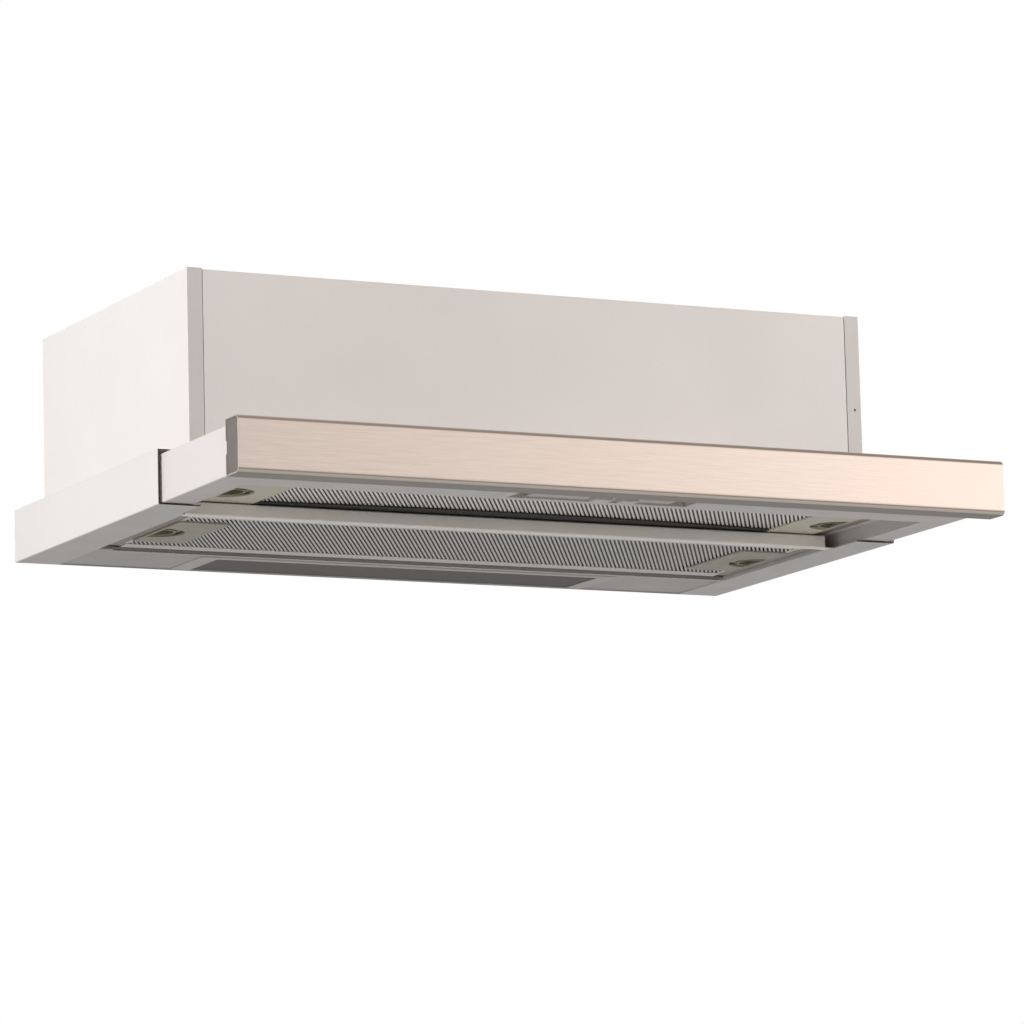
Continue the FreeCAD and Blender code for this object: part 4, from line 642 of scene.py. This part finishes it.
def expandedMesh(name, setup):
    mesh = Surface(name, setup["colour"], setup["roughness"], setup["metallic"])
    toEdge = mesh.cells(setup["cell"], feature="DISTANCE_TO_EDGE")
    strand = mesh.spread(toEdge, 1.0, 0.0, *setup["strandRange"])
    # painted shadow: the gaps between the strands are darkened
    mesh.shade(strand, setup["gap"], 1.0, 0.0, 1.0)
    mesh.raiseBy(strand, setup["strandHeight"])
    return mesh.finish()


looks["filter_mesh_aluminium"] = expandedMesh("filter_mesh_aluminium", filterMesh)


# painted shadow: a porous black strip on the drawer's filter, standing for the shadow the cross rail casts on
# the ribs

shadowStripLook = {
    "colour": (0.04, 0.038, 0.033),
    "roughness": 0.95,
    "pores": 1500,
    "poreShade": (0.5, 1.3),
    "poreHeight": 0.0002,
}


def shadowStrip(name, setup):
    stripSurface = Surface(name, setup["colour"], setup["roughness"])
    pores = stripSurface.noise(setup["pores"], detail=3)
    stripSurface.shade(pores, *setup["poreShade"])
    stripSurface.raiseBy(pores, setup["poreHeight"])
    return stripSurface.finish()


looks["seal_foam"] = shadowStrip("seal_foam", shadowStripLook)


# the lamp's smoked lens, with fine prisms across it

lampLens = {
    "colour": (0.095, 0.07, 0.065),
    "roughness": 0.5,
    "clear": 0.25,
    "specular": 0.3,
    "prisms": 110,
    "prismShade": (0.9, 1.05, 0.0, 1.0),
    "prismHeight": 0.00006,
    "streak": (1, 12, 1),
    "streakScale": 30,
    "streakShade": (0.85, 1.1),
}


def smokedLens(name, setup):
    lens = Surface(name, setup["colour"], setup["roughness"])
    wave = lens.nodes.new("ShaderNodeTexWave")
    wave.bands_direction = "X"
    wave.inputs["Scale"].default_value = setup["prisms"]
    lens.links.new(lens.coordinates, wave.inputs["Vector"])
    lens.shade(wave.outputs["Fac"], *setup["prismShade"])
    lens.shade(lens.noise(setup["streakScale"], setup["streak"], 3), *setup["streakShade"])
    lens.raiseBy(wave.outputs["Fac"], setup["prismHeight"])
    return lens.finish(Transmission_Weight=setup["clear"], Specular_IOR_Level=setup["specular"])


looks["lens_glass"] = smokedLens("lens_glass", lampLens)
print("materials ready:", len(looks))


# every carried-over node takes the finish of its slot, or a copy of it that is its own: lighter copies as
# painted light on the cross rail and front grille, darker copies as painted shade on the rear plate and rear
# latch plates, and the casing sides with painted shade on their front-facing flanges

nodeLooks = {
    "casing_side_left": "casingSideShadedPaint",
    "casing_side_right": "casingSideShadedPaint",
    "frame_cross_rail": "crossRailLitPaint",
    "frame_rear_plate": "rearPlateShadedPaint",
    "rear_latch_plate_left": "rearLatchPlateShaded",
    "rear_latch_plate_right": "rearLatchPlateShaded",
    "rear_filter_grille": "rearGrilleAluminium",
    "front_filter_grille": "frontGrilleLitAluminium",
}


def dressNodes(own):
    slotOf = {row["node"]: row["material_slot"] for row in frame["record"]["subparts"]}
    for node, item in frame["nodes"].items():
        for place in item.material_slots:
            place.material = looks[own.get(node, slotOf[node])]


dressNodes(nodeLooks)
print("nodes dressed:", len(frame["nodes"]))


# meshes of the added pieces

def meshObject(name, bm):
    bmesh.ops.recalc_face_normals(bm, faces=bm.faces)
    mesh = bpy.data.meshes.new(name)
    bm.to_mesh(mesh)
    bm.free()
    item = bpy.data.objects.new(name, mesh)
    bpy.context.collection.objects.link(item)
    return item


def prism(bm, low, high):
    # closes two outlines of equal length into one solid
    rings = [[bm.verts.new(point) for point in outline] for outline in (low, high)]
    bm.faces.new(rings[0])
    bm.faces.new(rings[1])
    for i in range(len(low)):
        j = (i + 1) % len(low)
        bm.faces.new([rings[0][i], rings[0][j], rings[1][j], rings[1][i]])


def lathe(bm, outline, steps):
    # turns an outline of (radius, height) points about z, closed at both ends
    rings = []
    for radius, height in outline:
        if radius == 0:
            rings.append([bm.verts.new((0, 0, height))])
            continue
        turns = [2 * math.pi * i / steps for i in range(steps)]
        rings.append([bm.verts.new((radius * math.cos(t), radius * math.sin(t), height)) for t in turns])
    for low, high in zip(rings, rings[1:]):
        for i in range(steps):
            j = (i + 1) % steps
            corners = [low[i % len(low)], low[j % len(low)], high[j % len(high)], high[i % len(high)]]
            bm.faces.new(list(dict.fromkeys(corners)))


# screws with domed heads, cross recesses and ringed threads, in place of the plain ones

screwShape = {
    "headRadius": 0.0034,
    "headHeight": 0.0020,
    "headLip": 0.35,
    "domeSteps": 6,
    "shankRadius": 0.0016,
    "shankLength": 0.0060,
    "tip": 0.6,
    "threadPitch": 0.0010,
    "threadDepth": 0.00025,
    "threadStart": 0.7,
    "recessLength": 0.0038,
    "recessWidth": 0.0008,
    "recessDepth": 0.0011,
    "cutterTop": 1.2,
    "steps": 40,
    "firstTurn": 0.5,
    "turnBetween": 0.9,
}


def screwOutline(shape):
    # from the tip of the shank to the top of the head
    reach, core = shape["shankRadius"], shape["shankRadius"] - shape["threadDepth"]
    pitch, steps = shape["threadPitch"], shape["domeSteps"]
    outline = [(0, -shape["shankLength"]), (core * shape["tip"], -shape["shankLength"])]
    height = -shape["shankLength"] + pitch * shape["threadStart"]
    while height < -pitch:
        outline += [(core, height), (reach, height + pitch / 2)]
        height += pitch
    outline += [(core, height), (core, 0), (shape["headRadius"], 0)]
    lip = shape["headHeight"] * shape["headLip"]
    dome = shape["headHeight"] - lip
    for i in range(steps):
        turn = math.pi / 2 * i / steps
        outline.append((shape["headRadius"] * math.cos(turn), lip + dome * math.sin(turn)))
    return outline + [(0, lip + dome)]


def crossCutter(shape):
    # two bars with slanted ends that cross each other, and that stand a little above the head
    bottom, top = shape["headHeight"] - shape["recessDepth"], shape["headHeight"] * shape["cutterTop"]
    half = shape["recessWidth"] / 2
    outlines = []
    for level, reach in ((bottom, shape["recessLength"] / 4), (top, shape["recessLength"] / 2)):
        outlines.append([(x, y, level) for x, y in (
            (half, half), (reach, half), (reach, -half), (half, -half), (half, -reach), (-half, -reach),
            (-half, -half), (-reach, -half), (-reach, half), (-half, half), (-half, reach), (half, reach))])
    bm = bmesh.new()
    prism(bm, *outlines)
    return meshObject("crossCutter", bm)


def screwMesh(shape):
    # one screw that stands on z = 0 with its head up
    bm = bmesh.new()
    lathe(bm, screwOutline(shape), shape["steps"])
    blank, cutter = meshObject("screwBlank", bm), crossCutter(shape)
    cut = blank.modifiers.new("crossRecess", "BOOLEAN")
    cut.operation = "DIFFERENCE"
    cut.solver = "EXACT"
    cut.object = cutter
    shown = blank.evaluated_get(bpy.context.evaluated_depsgraph_get())
    mesh = bpy.data.meshes.new_from_object(shown)
    for item in (blank, cutter):
        bpy.data.objects.remove(item)
    return mesh


def islands(item, near=1e-6):
    # the boxes of a node's separate solids
    bm = bmesh.new()
    bm.from_mesh(item.data)
    bmesh.ops.remove_doubles(bm, verts=bm.verts, dist=near)
    left, boxes = set(bm.verts), []
    while left:
        stack, found = [left.pop()], []
        while stack:
            vertex = stack.pop()
            found.append(vertex.co.copy())
            for edge in vertex.link_edges:
                other = edge.other_vert(vertex)
                if other in left:
                    left.remove(other)
                    stack.append(other)
        boxes.append([[side(point[i] for point in found) for i in range(3)] for side in (min, max)])
    bm.free()
    return sorted(boxes)


def placeScrews(name, node, body, headward):
    # a screw for each solid of the node, its head towards headward
    single = screwMesh(screwShape)
    turn = Vector(headward).to_track_quat("Z", "Y").to_matrix().to_4x4()
    axis = max(range(3), key=lambda i: abs(headward[i]))
    whole = bmesh.new()
    for count, (low, high) in enumerate(islands(frame["nodes"][node])):
        place = [(a + b) / 2 for a, b in zip(low, high)]
        far = high[axis] if headward[axis] > 0 else low[axis]
        place[axis] = far - headward[axis] * screwShape["headHeight"]
        spin = Matrix.Rotation(screwShape["firstTurn"] + screwShape["turnBetween"] * count, 4, "Z")
        copy = single.copy()
        copy.transform(Matrix.Translation(place) @ turn @ spin)
        whole.from_mesh(copy)
        bpy.data.meshes.remove(copy)
    screws = meshObject(name, whole)
    screws.data.materials.append(looks["screw_steel"])
    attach(screws, body)
    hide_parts(node)


placeScrews("casingScrewSet", "casing_screws", "hood", (0, 0, 1))
placeScrews("panelScrewSet", "panel_screws", "drawer", (0, 1, 0))
print("screws in place")


# the rolled front edge of the rear plate, with its curled right end

rolledEdge = {
    "from": -0.2465,
    "to": 0.2555,
    "back": -0.0730,
    "level": 0.0003,
    "radius": 0.00055,
    "roundness": 3,
    "curl": 0.0045,
    "curlAcross": 0.6,
    "curlSteps": 6,
}


def makeRolledEdge(setup):
    curve = bpy.data.curves.new("rearPlateRoll", "CURVE")
    curve.dimensions = "3D"
    curve.bevel_depth = setup["radius"]
    curve.bevel_resolution = setup["roundness"]
    curve.use_fill_caps = True
    line = curve.splines.new("POLY")
    points = [(setup["from"], setup["back"], setup["level"]), (setup["to"], setup["back"], setup["level"])]
    for i in range(1, setup["curlSteps"] + 1):
        turn = math.pi / 2 * i / setup["curlSteps"]
        points.append((setup["to"] + setup["curl"] * math.sin(turn) * setup["curlAcross"],
                       setup["back"] + setup["curl"] * (1 - math.cos(turn)), setup["level"]))
    line.points.add(len(points) - 1)
    for place, point in zip(line.points, points):
        place.co = (*point, 1)
    roll = bpy.data.objects.new("rearPlateRoll", curve)
    bpy.context.collection.objects.link(roll)
    curve.materials.append(looks["drawer_paint"])
    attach(roll, "hood")


makeRolledEdge(rolledEdge)
print("rolled edge in place")


# thin pieces at the ends of both filters: a lip that closes the slot beside the frame, above the latch tongue,
# and a strip below the tongue that closes the trough between the frame and the slotted sheet

filterLips = {
    "rearFilterLips": dict(node="rear_filter_frame", body="hood", reach=0.0019),
    "frontFilterLips": dict(node="front_filter_frame", body="drawer", reach=0.0012),
}
lipProfile = {"lap": 0.0003, "rise": 0.0035, "thick": 0.0004, "upturn": 0.0016, "endGap": 0.0006}
stripProfile = {"wall": 0.0009, "width": 0.0096, "rise": 0.00105, "thick": 0.0004, "endGap": 0.0010}


def drawnOut(bm, outline, ends):
    # an outline of (x, z) points drawn out along y, once on each side of the hood
    for side in (-1, 1):
        prism(bm, *([(side * x, y, z) for x, z in outline] for y in ends))


def makeLips(name, setup, lip, strip):
    low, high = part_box(setup["node"])
    inner, outer = high[0] - lip["lap"], high[0] + setup["reach"]
    bottom = low[2] + lip["rise"]
    shelf, top = bottom + lip["thick"], bottom + lip["upturn"]
    bm = bmesh.new()
    drawnOut(bm, [(inner, bottom), (outer, bottom), (outer, top), (outer - lip["thick"], top),
                  (outer - lip["thick"], shelf), (inner, shelf)],
             (low[1] + lip["endGap"], high[1] - lip["endGap"]))
    outer, under = high[0] - strip["wall"], low[2] + strip["rise"]
    inner, over = outer - strip["width"], under + strip["thick"]
    drawnOut(bm, [(inner, under), (outer, under), (outer, over), (inner, over)],
             (low[1] + strip["endGap"], high[1] - strip["endGap"]))
    lips = meshObject(name, bm)
    # painted shade: the lips and strip take the dark brown that stands for the shade in the filters' end
    # grooves
    lips.data.materials.append(looks["filterEndShadePaint"])
    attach(lips, setup["body"])


for name, setup in filterLips.items():
    makeLips(name, setup, lipProfile, stripProfile)
print("filter lips in place")
